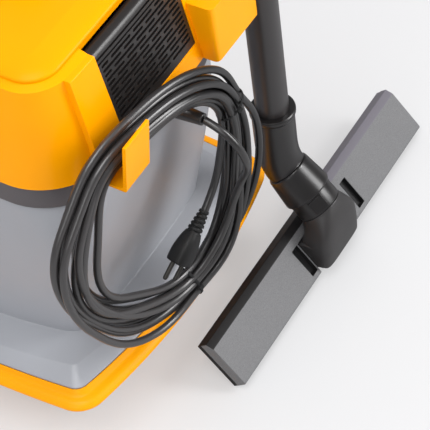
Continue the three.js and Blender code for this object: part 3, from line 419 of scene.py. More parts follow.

# %% [markdown]
# The yellow and orange shells are glossy but throw back little white, so they stay deep in
# colour; the lid's yellow is a little deeper, painted shade that tones down the light on its top.
# The tank is a satin grey. Blacks differ most by their gloss: smooth tubes and collars, a grained
# neck, dull rubber; the neck's black is paler, a painted highlight for its lit side. The tool's top
# has a fine mottle. Its rear side is painted dark as shade and goes from dark to light along its
# length, the light far end a painted reflection. The cord's sheath changes across the coil, painted
# light where the coil is lit and painted shade where it is not.

# %% The machine's finishes
# Painted shade: the lid's yellow is a little deeper than the shroud's, to tone down the light on its top.
lid_yellow_painted_shade = finish("yellow_lid_painted_shade", (252, 155, 0), 0.3, 0.03, 1600, shine=0.08)
orange = finish("orange_gloss", (248, 160, 0), 0.36, 0.03, 1600, shine=0.16)
grey = finish("tank_grey", (156, 158, 163), 0.34, 0.06, 1800, shine=0.6)
band_grey = finish("band_grey", (88, 84, 86), 0.5, 0.1, 2200)
black = finish("black_moulding", (22, 21, 22), 0.42, 0.12, 2400)
# Painted highlight: the neck's black is paler than the other blacks, for the broad highlight on its lit side,
# over a real grain.
neck_black_painted_light = finish("neck_black_painted_light", (44, 42, 42), 0.45, 0.3, 1400, shine=0.8)
black_gloss = finish("black_collar", (28, 26, 26), 0.3, 0.05, 1800, shine=0.8)
grille_black = finish("grille_black", (33, 30, 29), 0.38, 0.1, 2400, shine=0.8)
tube_black = finish("tube_black", (46, 43, 43), 0.34, 0.04, 1500, shine=0.9)
tool_grey = finish("tool_grain", (102, 102, 103), 0.6, 0.5, 1300, speckle=0.08)
# Painted shade: the tool's rear side is painted dark for its shade, and its far end lighter as a painted
# reflection.
tool_side_painted_shade = finish("tool_side_painted_shade", (24, 22, 23), 0.5, 0.2, 1500, far_painted_light=(108, 105, 112))
# Painted shade: the pockets are painted dark for the shade in their recesses.
pocket_painted_shade = finish("tool_pocket_painted_shade", (30, 29, 30), 0.6, 0.3, 1500)
plug_black = finish("plug_black", (16, 15, 15), 0.5, 0.15, 1500, shine=0.5)
# Painted light: the sheath is lighter towards +X, where the coil is lit, and painted shade towards -X.
sheath = finish("cord_sheath_painted_light", (54, 52, 52), 0.3, 0.04, 1200, shine=1.0, far_painted_light=(12, 11, 11),
                painted_light_span=(110, -90))
bristle = finish("bristle", (18, 18, 18), 0.8, 0.5, 3000)
rubber = finish("rubber", (20, 20, 21), 0.7, 0.2, 1500)
wheel_rubber = finish("wheel_tread", (52, 52, 53), 0.66, 0.2, 900)
steel = finish("steel", (196, 198, 202), 0.28, 0.04, 2500, metal=1.0)
nickel = finish("plug_metal", (84, 82, 79), 0.45, 0.02, 2500, metal=1.0)
white = finish("white_plastic", (226, 226, 220), 0.5, 0.05, 1500)
paper = finish("filter_paper", (217, 210, 192), 0.85, 0.5, 1500)
red = finish("red_rocker", (176, 42, 34), 0.32, 0.02, 1600)
print("materials so far:", len(bpy.data.materials))

# %% [markdown]
# The motor, the fan, the float and the filter sit inside, where a plain solid is all that is ever
# seen of them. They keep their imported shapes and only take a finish, and so does every other
# solid until a dressed piece stands for it.

# %% Finishes on the solids that stay as they are
SOLID_FINISH = {
    "yellow_shell": yellow, "orange_base": orange, "tank_plastic": grey, "band_plastic": band_grey,
    "black_plastic": black, "tool_plastic": tool_grey, "tube_plastic": tube_black, "cord_rubber": sheath,
    "seal_rubber": rubber, "wheel_rubber": wheel_rubber, "bristle": bristle, "steel": steel,
    "pin_metal": nickel, "white_plastic": white, "filter_paper": paper, "motor_steel": steel,
    "red_plastic": red,
}
for name, solid in frame["nodes"].items():
    solid.data.materials.clear()
    solid.data.materials.append(SOLID_FINISH[SLOTS[name]])
print("solids with a finish:", len(frame["nodes"]))

# %% [markdown]
# ## Level outlines
# The machine's plan at any height is a rounded rectangle whose ends and sides swell outward, the way
# large mouldings do. Drawn a quarter at a time, the corner's arc sets off at the slope of the
# swell beside it, so that nothing kinks.

# %% Quarter of an outline
def quarter(half_x, half_y, corner, bow, side_bow, fine=14):
    """From the middle of a side round to the middle of an end.

    side: x = edge + side_bow (1 - t^2)    end: y = edge + bow (1 - t^2)    t = 1 at the corner
    """
    cx, cy = half_x - corner, half_y - corner
    a = np.linspace(np.arctan2(2 * side_bow, cy), np.pi / 2 - np.arctan2(2 * bow, cx), fine)
    arc = np.stack([cx + corner * np.cos(a), cy + corner * np.sin(a)], 1)
    t = np.linspace(0, 1, fine, endpoint=False)
    side = np.stack([arc[0, 0] + side_bow * (1 - t**2), arc[0, 1] * t], 1)
    end = np.stack([arc[-1, 0] * t, arc[-1, 1] + bow * (1 - t**2)], 1)[::-1]
    return np.vstack([side, arc, end])


def ring_of(half, rear, front, corner, bow=0.0, side=0.0):
    """An outline in figures: half width, rear and front edge, corner radius, swell of ends and of sides."""
    return {"half": half, "rear": rear, "front": front, "corner": corner, "bow": bow, "side": side}


print("points in a quarter:", len(quarter(100, 80, 30, 0, 0)))

# %% [markdown]
# Most outlines are the same front and rear, so one quarter gives all four. The head's rear differs
# from its front, so those two quarters are given apart and each is mirrored. Growing an outline
# moves its edges and its corner's radius together, and the wall between two of them stays even.

# %% Whole outlines
def whole(rear_quarter, front_quarter, middle_y, z):
    """Four quarters, anticlockwise from the middle of the +X side."""
    rear_left = (rear_quarter * (-1, 1))[::-1]
    front_left, front_right = front_quarter * (-1, -1), (front_quarter * (1, -1))[::-1]
    flat = np.vstack([rear_quarter, rear_left[1:], front_left[1:], front_right[1:-1]]) + (0, middle_y)
    return np.column_stack([flat, np.full(len(flat), z)])


def level(z, ring, by=0.0):
    """The outline of a ring at a height, grown outward by a distance."""
    half_y = (ring["rear"] - ring["front"]) / 2 + by
    q = quarter(ring["half"] + by, half_y, max(ring["corner"] + by, 0.5), ring["bow"], ring["side"])
    return whole(q, q, (ring["rear"] + ring["front"]) / 2, z)


def between(a, b, t):
    """Each figure of an outline, a share t of the way from a to b."""
    return {key: a[key] + (b[key] - a[key]) * t for key in a}


print("points round an outline:", len(level(0, ring_of(100, 80, -80, 30))))

# %% [markdown]
# ## Base and tank
# The base is a shallow bumper: a rounded lip that would meet a wall first, and a steep step up to
# the tank. The tank sits down in it, comes out as a ledge, and rises in one slow flare.

# %% Rings of the base and the tank
LIP = ring_of(186, 179, -179, 32, 17, 7)
BUMPER = ring_of(169, 160, -160, 15, 20, 9)
SKIRT = ring_of(156, 147, -147, 10, 20, 8)
LEDGE = ring_of(150, 143, -145, 8, 24, 15)
FOOT = ring_of(120, 133, -138, 30, 3, 12)
RIM = ring_of(139.5, 180, -150, 70, 3)
GAP = 0.3
WALL = 3.4
TANK_TOP = 324.0
CASTERS = [(123, 127), (-123, 127), (-123, -127), (123, -127)]
print("across the bumper:", 2 * (LIP["half"] + LIP["side"]), "mm")

# %% [markdown]
# The orange bumper is the tray that the tank stands in. A bevelled box has one radius all round,
# but this lip rolls over, steps up steeply and turns in again under the tank. So it is one skin
# through ten level outlines, each corner of the chain with its own radius, and the castors' stem
# holes are bored into its underside.

# %% Bumper
bumper = stack(soft([
    level(58, LIP, -34), level(58, LIP, -24), level(75, LIP), level(80, LIP, -1), level(83.5, LIP, -6),
    level(84.5, LIP, -13), level(89.7, BUMPER, 1.2), level(89.7, BUMPER, 0.05), level(65, SKIRT, GAP),
    level(65, SKIRT, -8),
], [0, 4, 7, 2.5, 2.5, 2.5, 0.4, 0.4, 2, 0]))
stem_holes = joined(*[moved(rod(5.3, 56, 67), (x, y, 0)) for x, y in CASTERS])
bumper = carved(bumper, stem_holes)
piece("bumper", bumper, "base_bumper", smooth=40)

# %% [markdown]
# The tank is thin plastic, so its skin runs up the outside and down the inside as one closed
# stack. A plain loft from foot to rim would round its corners evenly. The real ones stay tight
# nearly all the way up and open out just below the rim, which a fifth power of the height gives.

# %% Tank
PORT_HEIGHT = 236.0


def tank_wall(z, by=0.0):
    """From foot to rim the corners stay as tight as the foot's, and open out only just below the rim."""
    t = (z - 103) / (TANK_TOP - 103)
    corner = FOOT["corner"] + (RIM["corner"] - FOOT["corner"]) * t**5
    return level(z, dict(between(FOOT, RIM, t), corner=corner), by)


WALL_HEIGHTS = (150, 200, 245, 280, 305)
tank_outside = [
    level(65.3, SKIRT, -8), level(65.3, SKIRT), level(90, BUMPER), level(100, LEDGE), level(103, FOOT),
    *[tank_wall(z) for z in WALL_HEIGHTS], level(TANK_TOP, RIM),
]
tank_inside = [
    level(TANK_TOP, RIM, -WALL), *[tank_wall(z, -WALL) for z in WALL_HEIGHTS[::-1]], level(99.6, FOOT, -WALL),
    level(96.6, LEDGE, -WALL), level(86.6, BUMPER, -WALL), level(68.7, SKIRT, -WALL), level(68.7, SKIRT, -12),
]
FLARE = [15] * len(WALL_HEIGHTS)
tank = stack(soft(tank_outside + tank_inside, [0, 3, 2.4, 1.5, 1.5, *FLARE, 0.9, 0.9, *FLARE, 3, 3, 3, 3, 0]))
port_bore = moved(alongside(lathe([(25.1, -30), (25.1, 30)])), (0, RIM["front"] + 5, PORT_HEIGHT))
tank = carved(tank, port_bore)
print("the tank's skin, with its port:", len(tank[1]), "faces")

# %% [markdown]
# Two pairs of small ears on the tank's sides carry the latch pins, and a flat rubber ring lies on
# the rim under the head. The ears belong to the moulding, so they are joined to the tank before
# it becomes a piece.

# %% Latch ears and rim seal
LATCH_X, LATCH_Z = 147.0, 296.0
ear = soft([(-13.5, -9), (0, -9), (6, -5), (6, 6), (-13.5, 6)], [0, 0, 4, 4, 0], closed=True)
ears = [
    moved(prism(ear * (side, 1) + (side * LATCH_X, LATCH_Z), -3, 3, "y"), (0, y, 0))
    for side in (1, -1) for y in (21.3, -21.3)
]
piece("tank_shell", joined(tank, *ears), "tank", smooth=40)
SEAL_SECTION = [(GAP, -0.8), (2.7, -0.8), (2.7, -7.8), (GAP, -7.8)]
piece("lid_seal", stack([level(TANK_TOP + up, RIM, by) for up, by in SEAL_SECTION], closed=True), "tank_seal")

# %% [markdown]
# The inlet is a round spigot with a flange that the hose's cuff plugs into. It is turned, because
# it is round, and the part of it that would fill the wall is cut away by the tank's own grown
# shape, so the flange beds on the curved front.

# %% Suction inlet
front = RIM["front"]
inlet = hoop([
    (20.5, front - 40), (23.5, front - 40), (26.5, front - 37), (26.5, front - 31), (24.5, front - 28),
    (24.5, front - 7), (38, front - 5), (38, front + 8), (24.5, front + 8), (24.5, front + 22),
    (20.5, front + 22),
], 1.2)
inlet = moved(alongside(inlet), (0, 0, PORT_HEIGHT))
grown = stack([level(z, ring, GAP) for z, ring in ((90, BUMPER), (100, LEDGE), (103, FOOT), (TANK_TOP, RIM))])
core = moved(alongside(lathe([(24.51, front - 60), (24.51, front + 60)])), (0, 0, PORT_HEIGHT))
inlet = carved(inlet, carved(grown, core))
piece("suction_inlet", inlet, "inlet_port")

# %% [markdown]
# Each side latch is a springy claw that turns on a steel pin and hooks over the band. Claw and
# barrel are simple, an outline carried through the width and a turned hoop, so one loop draws
# both sides and mirrors the outline.

# %% Latches
for side, name in ((1, "right"), (-1, "left")):
    claw = soft([
        (145.5, 296), (152, 296), (155, 334.3), (152, 354.3), (143.8, 354.3), (143.8, 348.3), (145.5, 345.3),
    ], [0, 0, 6, 3, 1, 1, 1], closed=True) * (side, 1)
    at_pin = (side * LATCH_X, 0, LATCH_Z)
    barrel = moved(alongside(hoop([(2.8, -18), (6, -18), (6, 18), (2.8, 18)], 0.8, 48)), at_pin)
    piece(f"latch_{name}_clip", joined(prism(claw, -18, 18, "y"), barrel), f"latch_{name}", edge=1.0)
    pin = moved(alongside(rod(2.5, -25.3, 25.3)), at_pin)
    piece(f"latch_{name}_pin", pin, f"latch_pin_{name}")

# %% [markdown]
# A castor's wheel trails behind its stem, so that it swings in line with any push. The grooved
# tread is turned once and the fork is a crown, a stem and two cheeks. All four castors share
# those shapes and differ only in their place.

# %% Castors
TRAIL, WHEEL = 15.0, 24.0
tread = hoop([
    (3.3, -9), (7, -9), (8.5, -6.5), (14.5, -6.5), (16, -9), (21.5, -8), (24, -5),
    (24, 5), (21.5, 8), (16, 9), (14.5, 6.5), (8.5, 6.5), (7, 9), (3.3, 9),
], 1.2)
cheek = soft([
    (10, 54), (-17.5, 54), (-22, 24), (-19.2, 19.1), (-10.8, 19.1), (-8, 24),
], [3, 3, 5, 4, 4, 6], closed=True)
for number, (x, y) in enumerate(CASTERS, 1):
    cheeks = [prism(cheek, x_from, x_from + 4, "x") for x_from in (9.8, -13.8)]
    fork = joined(rod(14.8, 52.7, 57.7, 1), rod(5, 57, 64), *cheeks)
    piece(f"castor_fork_{number}", moved(fork, (x, y, 0)), f"caster_fork_{number}", edge=0.5)
    axle = moved(crossways(rod(3, -15.3, 15.3)), (x, y - TRAIL, WHEEL))
    piece(f"castor_axle_{number}", axle, f"caster_axle_{number}")
    wheel = moved(crossways(tread), (x, y - TRAIL, WHEEL))
    piece(f"castor_wheel_{number}", wheel, f"caster_wheel_{number}")

# %% [markdown]
# ## Motor head
# A dark band carries the yellow shroud. The shroud's walls lean in towards a chamfered rim, and
# the middle of its rear wall stands proud as a block, with the exhaust grille let into its face.
# All its heights are built up from the tank's top, so that a change there carries through.

# %% Sizes of the head
BAND_BOTTOM = TANK_TOP + 3.0
BAND_TOP = BAND_BOTTOM + 30
HEAD_BOTTOM = BAND_TOP + GAP
HEAD_RIM = HEAD_BOTTOM + 110.7
HEAD_TOP = HEAD_RIM + 3
HEAD_LOW = ring_of(145.5, 187.5, -160, 72, 1.5)
HEAD_HIGH = ring_of(128.5, 168.5, -142, 38.5, 1.5)
BLOCK_HALF, BLOCK_PROUD = 98.0, 6.5


def head_ring(z, inset=0.0):
    """The head's outline at a height: low to rim in step with the height, and as at the rim above it."""
    ring = between(HEAD_LOW, HEAD_HIGH, min((z - HEAD_BOTTOM) / (HEAD_RIM - HEAD_BOTTOM), 1))
    return ring_of(
        ring["half"] - inset, ring["rear"] - inset, ring["front"] + inset, ring["corner"] - inset, ring["bow"]
    )


print("the head stands from", HEAD_BOTTOM, "to", HEAD_TOP, "mm")

# %% [markdown]
# The step of the rear block is a short stretch straight out, from the plain outline to one grown by
# the block's depth. Joining two solids would give it too, but not the even wall behind it. Both
# outlines are walked at even spacing, so each has the same number of points at every height and
# they stack without a twist.

# %% Outlines with the rear block
def walked(path, count=None, spacing=1.0):
    """The same path with points at even spacing: `count` of them, or as many as the spacing gives."""
    along = np.append(0, np.cumsum(np.linalg.norm(np.diff(path, axis=0), axis=1)))
    even = np.linspace(0, along[-1], count or int(along[-1] / spacing) + 1)
    return np.stack([np.interp(even, along, column) for column in path.T], 1)


def head_level(z, by=0.0, inset=0.0, proud=BLOCK_PROUD):
    """A level outline of the head. Its rear stands proud by a distance from |x| = BLOCK_HALF inward."""
    ring = head_ring(z, inset)
    middle = (ring["rear"] + ring["front"]) / 2

    def grown(distance):
        """The rear right quarter of the level, larger by a distance."""
        half_y = (ring["rear"] - ring["front"]) / 2 + distance
        corner = max(ring["corner"] + distance, 0.5)
        return quarter(ring["half"] + distance, half_y, corner, ring["bow"], 0, 90)

    plain, block = grown(by), grown(by + proud)
    edge = BLOCK_HALF + by
    plain_y = np.interp(-edge, -plain[:, 0], plain[:, 1])
    block_y = np.interp(-edge, -block[:, 0], block[:, 1])
    outer = np.vstack([plain[plain[:, 0] > edge], [edge, plain_y]])
    inner = np.vstack([[edge, block_y], block[block[:, 0] < edge]])
    rear = np.vstack([walked(outer, 34), walked(inner, 26)])
    return whole(rear, walked(plain, 44), middle, z)


print("points round the head at its foot:", len(head_level(HEAD_BOTTOM)))

# %% [markdown]
# The dark band is the motor's floor plate and the lid of the tank. It keeps the tank's rim
# outline, grown by three millimetres, and leaves one round opening for the air. As a closed stack
# it goes out, up, in to the opening and back.

# %% Band
outer_low, outer_high = level(BAND_BOTTOM, RIM, 3), level(BAND_TOP, RIM, 4)
outward = outer_high * (1, 1, 0)
eye = 15 * outward / np.linalg.norm(outward, axis=1)[:, None] + (0, 0, BAND_TOP)
band = stack(soft([
    outer_low, outer_high, eye, eye - (0, 0, 4),
    level(BAND_TOP - 4, RIM, -0.4), level(BAND_BOTTOM, RIM, -0.4),
], [0.8, 0.9, 0.6, 0.6, 2, 0.8], closed=True), closed=True)
collar = sleeve(45.7, 42, BAND_BOTTOM + 4, BAND_TOP - 3.5)
piece("head_band_moulding", joined(band, collar), "head_band")

# %% [markdown]
# The yellow shroud covers the motor as one thin shell. A cube pushed into shape would lose the
# even wall, so its outlines run up the outside, over the rim and down the inside. The grille's
# window and the switch's opening are cut through it afterwards, the second at the slope of the
# front wall.

# %% Shroud
LIP_REST = 9.0
shroud_rows = [
    head_level(HEAD_BOTTOM), head_level(HEAD_RIM), head_level(HEAD_RIM, proud=0),
    head_level(HEAD_TOP, inset=8, proud=0), head_level(HEAD_TOP, by=-LIP_REST, inset=8, proud=0),
    head_level(HEAD_TOP - WALL, by=-LIP_REST, inset=8, proud=0),
    head_level(HEAD_TOP - WALL, by=-WALL, inset=8, proud=0), head_level(HEAD_RIM - WALL, by=-WALL, proud=0),
    head_level(HEAD_BOTTOM, by=-WALL),
]
shroud = stack(soft(shroud_rows, [0.7, 1.2, 1.0, 1.6, 0.6, 0.6, 1, 1, 0.7], closed=True), closed=True)
head_solid = stack(shroud_rows[:4])
WINDOW_HALF, WINDOW_FROM, GRILLE_LOW = 62.3, 160.0, HEAD_TOP - 92
window = block(-WINDOW_HALF, WINDOW_HALF, WINDOW_FROM, 230, GRILLE_LOW - GAP, HEAD_TOP + 19)

SWITCH_Z = HEAD_BOTTOM + 54
switch_ring = head_ring(SWITCH_Z)
switch_turn = turn_about("X", -np.degrees(np.arctan2(18, 110.7)))


def on_switch(part):
    """From the switch's own place to the middle of the leaning front wall."""
    return moved(part, (0, switch_ring["front"] - switch_ring["bow"], SWITCH_Z), switch_turn)


shroud = carved(shroud, window, on_switch(block(-10.4, 10.4, -20, 20, -15.4, 15.4)))
piece("motor_shroud", shroud, "head_shroud", edge=1.1, smooth=40)

# %% [markdown]
# The lid lies in the shroud's rim behind a fine seam and swells up like a cushion. Subdividing a
# box would soften its seam edge as well. Six outlines with one small and two large radii keep the
# seam sharp and the top soft.

# %% Cover
COVER_LEVEL = HEAD_TOP + GAP
top_ring = head_ring(HEAD_TOP, 8)
EDGE = ring_of(top_ring["half"] - 0.6, 160, top_ring["front"] + 0.6, top_ring["corner"] - 0.6)
cover = stack(soft([
    level(COVER_LEVEL - 0.25, EDGE, -8), level(COVER_LEVEL - 0.25, EDGE), level(COVER_LEVEL + 3, EDGE),
    level(COVER_LEVEL + 7.2, EDGE, -26 / 3), level(COVER_LEVEL + 10, EDGE, -26),
    level(COVER_LEVEL + 10, EDGE, -28),
], [0, 0.2, 2.2, 8, 8, 0], steps=5))
piece("top_lid", cover, "top_cover", material=lid_yellow_painted_shade, smooth=40)

# %% [markdown]
# The motor's air leaves through a black grille in the rear block. The panel follows the block's
# slightly bowed face and has a chamfered bar along its top. It is drawn as cross sections side by
# side, so that it bows with the wall.

# %% Grille panel
ACROSS = np.linspace(-62, 62, 32)


def face_y(z):
    """The panel's face at a height: the wall's place, less 0.8, less a bow that grows with x squared."""
    ring = head_ring(z)
    return ring["rear"] + ring["bow"] + BLOCK_PROUD - 0.8 - 1.5 * (ACROSS / 90) ** 2


section = [
    (face_y(GRILLE_LOW), GRILLE_LOW), (face_y(HEAD_RIM), HEAD_RIM - 3), (face_y(HEAD_RIM) - 3, HEAD_RIM),
    (face_y(HEAD_RIM) - 9, HEAD_RIM), (face_y(HEAD_RIM) - 9, HEAD_RIM - 4.5),
    (160.3 + 0 * ACROSS, HEAD_RIM - 4.5), (160.3 + 0 * ACROSS, HEAD_RIM - 6.5),
    (face_y(HEAD_RIM) - 4, HEAD_RIM - 6.5), (face_y(GRILLE_LOW) - 4, GRILLE_LOW),
]
loops = np.stack([np.stack([ACROSS, y, np.full_like(ACROSS, z)], 1) for y, z in section])
panel = stack(np.swapaxes(loops, 0, 1)[::-1])
print("the panel's face bows by", round(float(np.ptp(face_y(HEAD_RIM))), 2), "mm")

# %% [markdown]
# Below the bar run rows of slits in brick bond, each with round ends, and two fine grooves set
# the bar off. A painted or bumped pattern would go flat at a low angle. Cut right through, the
# slits show real depth, and one cut takes them all.

# %% Grille slots
SLOT_LENGTH, SLOT_HEIGHT, PITCH, BRIDGE, TOP_BAR, ROWS = 31.0, 2.9, 5.2, 4.2, 13.5, 13
groove_edge = np.vstack([np.column_stack([ACROSS, face_y(HEAD_RIM) - 2.6]), [(64, 240), (-64, 240)]])
# Each groove's top below the rim, and its height.
GROOVES = [(6.4, 2.4), (11.6, 2.0)]
grooves = joined(*[prism(groove_edge, HEAD_RIM - z - high, HEAD_RIM - z) for z, high in GROOVES])


def slot_at(x0, x1, z):
    """A knife with half-round ends from x0 to x1, standing on height z, that passes through the panel."""
    end = SLOT_HEIGHT / 2
    a = np.linspace(-np.pi / 2, np.pi / 2, 6)
    right = np.stack([x1 - end + end * np.cos(a), end + end * np.sin(a)], 1)
    left = np.stack([x0 + end - end * np.cos(a), end - end * np.sin(a)], 1)
    return prism(np.vstack([right, left]) + (0, z), -230, -162, "y")


slots = []
reach = 62 - 4
for row in range(ROWS):
    z = HEAD_RIM - TOP_BAR - (row + 1) * PITCH
    starts = np.arange(-reach - (row % 2) * (SLOT_LENGTH + BRIDGE) / 2, reach, SLOT_LENGTH + BRIDGE)
    for x0, x1 in zip(np.maximum(starts, -reach), np.minimum(starts + SLOT_LENGTH, reach)):
        if x1 - x0 > BRIDGE:
            slots.append(slot_at(x0, x1, z))
grille = carved(panel, grooves, joined(*slots))
print("slots:", len(slots))
piece("exhaust_grille", grille, "rear_grille", material=grille_black, edge=0.35, smooth=50, segments=2)

# %% [markdown]
# The handle is an arch as seen from the side. Its outline is carried across the machine and
# rounded with a wide bevel of five steps for the hand, which is simpler than sweeping a section
# along a bent path and has flat feet.

# %% Carrying handle
bar_bottom, bar_top = COVER_LEVEL + 9.6, COVER_LEVEL + 52
arch = soft([
    (-72, bar_bottom), (-66, bar_top - 14), (-46, bar_top), (66, bar_top), (86, bar_top - 14),
    (92, bar_bottom), (74, bar_bottom), (68, bar_top - 19), (60, bar_top - 13), (-40, bar_top - 13),
    (-48, bar_top - 19), (-54, bar_bottom),
], [0, 14, 16, 16, 14, 0, 0, 8, 8, 8, 8, 0], closed=True, steps=6)
piece("carrying_handle", prism(arch, -15, 15, "x"), "carry_handle", edge=4.0, segments=5)

# %% [markdown]
# Two brackets at the rear hold what is stored outside: an open hook for the coil, whose end plate
# leans out so the coil stays on, and a clip with a half-round cradle for the tube. Both are drawn
# too deep and trimmed by the head's own solid shape, so they meet its sloping wall without a gap.

# %% Cord hook and wand holder
HOOK_LEFT, HOOK_WIDTH, HOOK_REACH, HOOK_HEIGHT = 70.0, 38.0, 217.0, 61.0
hook_floor = HEAD_BOTTOM + 2
lean = HOOK_HEIGHT * np.tan(np.radians(8))
arm = soft([
    (160, hook_floor), (HOOK_REACH + 3.4, hook_floor), (HOOK_REACH + 3.4 + lean, hook_floor + HOOK_HEIGHT),
    (HOOK_REACH + lean, hook_floor + HOOK_HEIGHT), (HOOK_REACH, hook_floor + 3.4), (184, hook_floor + 3.4),
    (176, hook_floor + 12.4), (160, hook_floor + 12.4),
], [0, 3, 0.6, 0.6, 5, 5, 2, 0], closed=True)
hook = carved(prism(arm, HOOK_LEFT, HOOK_LEFT + HOOK_WIDTH, "x"), head_solid)
piece("cord_hook_plate", hook, "cord_hook", edge=0.9)

TUBE_RADIUS = 17.5
HOLDER_REAR = 211.0
grip = TUBE_RADIUS + 2 * GAP
a = np.linspace(0, -np.pi, 40)
cradle = np.stack([WAND[0] + grip * np.cos(a), WAND[1] + grip * np.sin(a)], 1)
outside = soft([
    (WAND[0] - grip, HOLDER_REAR), (-184, HOLDER_REAR), (-184, 188), (-174, 180), (-130, 130), (-100, 120),
    (-66, 150), (-66, HOLDER_REAR), (WAND[0] + grip, HOLDER_REAR),
], [0, 8, 4, 6, 0, 0, 0, 6, 0])
holder = carved(prism(np.vstack([outside, cradle]), HEAD_BOTTOM, HEAD_BOTTOM + 66), head_solid)
piece("wand_clip", holder, "wand_holder", edge=1.4)

# %% [markdown]
# The boot keeps the lead from kinking where it leaves the band. It is a turned cone in the lead's
# own rubber, a little wider than the lead at its mouth.

# %% Strain relief
RELIEF = (-10.0, 226.0, BAND_BOTTOM + 15)
flange_at = RIM["rear"] + RIM["bow"] + 4.3
boot = [
    (0.5, flange_at), (11, flange_at), (11, flange_at + 3), (8.4, flange_at + 4.5),
    (6.0, RELIEF[1]), (0.5, RELIEF[1]),
]
relief = moved(alongside(lathe(soft(boot, [0, 0.6, 0.8, 1.4, 0.6, 0]), 48)), (RELIEF[0], 0, RELIEF[2]))
piece("cord_boot", relief, "strain_relief")

# %% [markdown]
# A rocker switch in a frame, square to the leaning front wall. The key's side outline is bent, so
# that one half stands proud of the other, and it is carried across its width. The frame is two
# blocks with the key's opening cut out.

# %% Switch
frame_plate = carved(block(-13, 13, -3.3, -0.3, -18, 18), block(-8.3, 8.3, -9, 9, -13.3, 13.3))
sleeve_box = carved(block(-10, 10, -1, 8, -15, 15), block(-8.3, 8.3, -9, 19, -13.3, 13.3))
piece("switch_frame", on_switch(joined(frame_plate, sleeve_box)), "switch_bezel", edge=0.8)
dip = 13 * np.tan(np.radians(8))
rocker = soft([
    (-3 - 2 * dip, 11), (-3, 0), (-2.7, -12.4), (3, -10.4), (5, 0), (3, 10.4),
], [1, 4, 0.6, 1, 3, 1], closed=True)
piece("switch_key", on_switch(prism(rocker, -7.8, 7.8, "x")), "switch_rocker", edge=0.6)

# %% [markdown]
# ## Suction wand and floor tool
# The wand stands in its clip: two tubes, a collar that bends, a swivel cuff with its lock ring, and
# the floor tool's own neck. Below the bend everything is drawn in a turned frame, in which Z runs
# back up the bent part's axis and Y stands square off the tool's top face.

# %% The bent frame
TILT = 40.6
BEND_HEIGHT = 132.589
BEND_TURN = turn_about("X", TILT)
TOOL_START, TOOL_END = 71.6, 132.6
BORE = 16.0


def at_wand(part):
    """From the tube's own axis to its place in the clip."""
    return moved(part, (*WAND, 0))


def at_bend(part):
    """From the turned frame below the bend to the machine's."""
    return moved(part, (*WAND, BEND_HEIGHT), BEND_TURN)


print("the tool's axis leans by", TILT, "degrees")

# %% [markdown]
# Two plain plastic tubes. The lower one widens to a socket at its top and the upper one stands in
# it, so the joint shows as a collar. Turned profiles give both, with their walls, in one call
# each.

# %% Tubes
tube_foot = BEND_HEIGHT + 36
tube_head = tube_foot + 470
shoulder = tube_head - 38
lower = hoop([
    (BORE, tube_foot), (TUBE_RADIUS, tube_foot), (TUBE_RADIUS, shoulder - 6), (19.6, shoulder),
    (19.6, tube_head), (17.8, tube_head), (17.8, shoulder), (BORE, shoulder - 3),
], [0.5, 0.5, 4, 4, 0.8, 0.8, 0.5, 0.5])
piece("wand_lower_tube", at_wand(lower), "wand_lower")
upper = sleeve(TUBE_RADIUS, BORE, shoulder + GAP, shoulder + GAP + 498, 0.7, 72)
piece("wand_upper_tube", at_wand(upper), "wand_upper")

# %% [markdown]
# The collar turns the air from upright to the tool's slope. Its middle runs straight down, round
# a parabola through the bend, then straight along the tilt. Bending a cylinder with a modifier
# would pinch its wall, so rings are set square to that path, once for the outside and once for
# the bore, and closed into one skin.

# %% Rings along a bent path
collar_top = BEND_HEIGHT + 76
seat = collar_top - 40.3
down = np.array([np.sin(np.radians(TILT)), -np.cos(np.radians(TILT))])
bend = np.array([0, BEND_HEIGHT])
t = np.linspace(0, 1, 14)[:, None]
curve = (1 - t) ** 2 * (0, seat - 7) + 2 * t * (1 - t) * bend + t**2 * (bend + 14.8 * down)


def straight(z_from, z_to, count=2):
    """Points (0, z) evenly from one height to another."""
    return np.stack([np.zeros(count), np.linspace(z_from, z_to, count)], 1)


def sweep(centres, radii, columns=64):
    """Rings square to a path in the YZ plane: centre + radius (cos a across, sin a square to the path)."""
    centres, radii = np.asarray(centres, float), np.asarray(radii, float)
    ahead = np.gradient(centres, axis=0)
    ahead /= np.linalg.norm(ahead, axis=1)[:, None]
    a = np.linspace(0, 2 * np.pi, columns, endpoint=False)[None]
    side = -ahead[:, ::-1] * (1, -1)
    across = radii[:, None] * np.cos(a)
    out = radii[:, None] * np.sin(a)
    y = centres[:, :1] + out * side[:, :1]
    z = centres[:, 1:] + out * side[:, 1:]
    return np.stack([across, y, z], 2)


print("the collar's seat is at", round(seat, 1), "mm")

# %% Bent collar
lip = soft([
    (23.0, collar_top), (24.3, collar_top - 1.2), (24.3, collar_top - 4.8), (23.7, collar_top - 6),
    (22.5, collar_top - 8), (22.5, seat - 4),
], 0.8)
centres = np.vstack([np.stack([0 * lip[:, 1], lip[:, 1]], 1), curve, bend + 15.6 * down, bend + 15.7 * down,
                     bend + 42 * down, bend + 43 * down])
radii = np.concatenate([lip[:, 0], np.full(14, 22.5), [22.5, 19.6, 19.6, 18.8]])
back = np.vstack([bend + 43 * down, bend + 20 * down, curve[::-1],
                  straight(seat - 4, seat), straight(seat + 0.1, collar_top)])
back_radii = np.concatenate([np.full(2 + 14 + 2, BORE), [17.8, 17.8]])
outer_rings = sweep(centres, radii)
inner_rings = sweep(back[::-1], back_radii[::-1])[::-1]
collar_part = stack(np.vstack([outer_rings, inner_rings]), closed=True)
piece("bent_collar", at_wand(collar_part), "elbow_collar", material=black_gloss)

# %% [markdown]
# The cuff turns on the collar, and a lock ring with a thumb tab clamps it. All of it is turned
# but the tab, a small block set to one side.

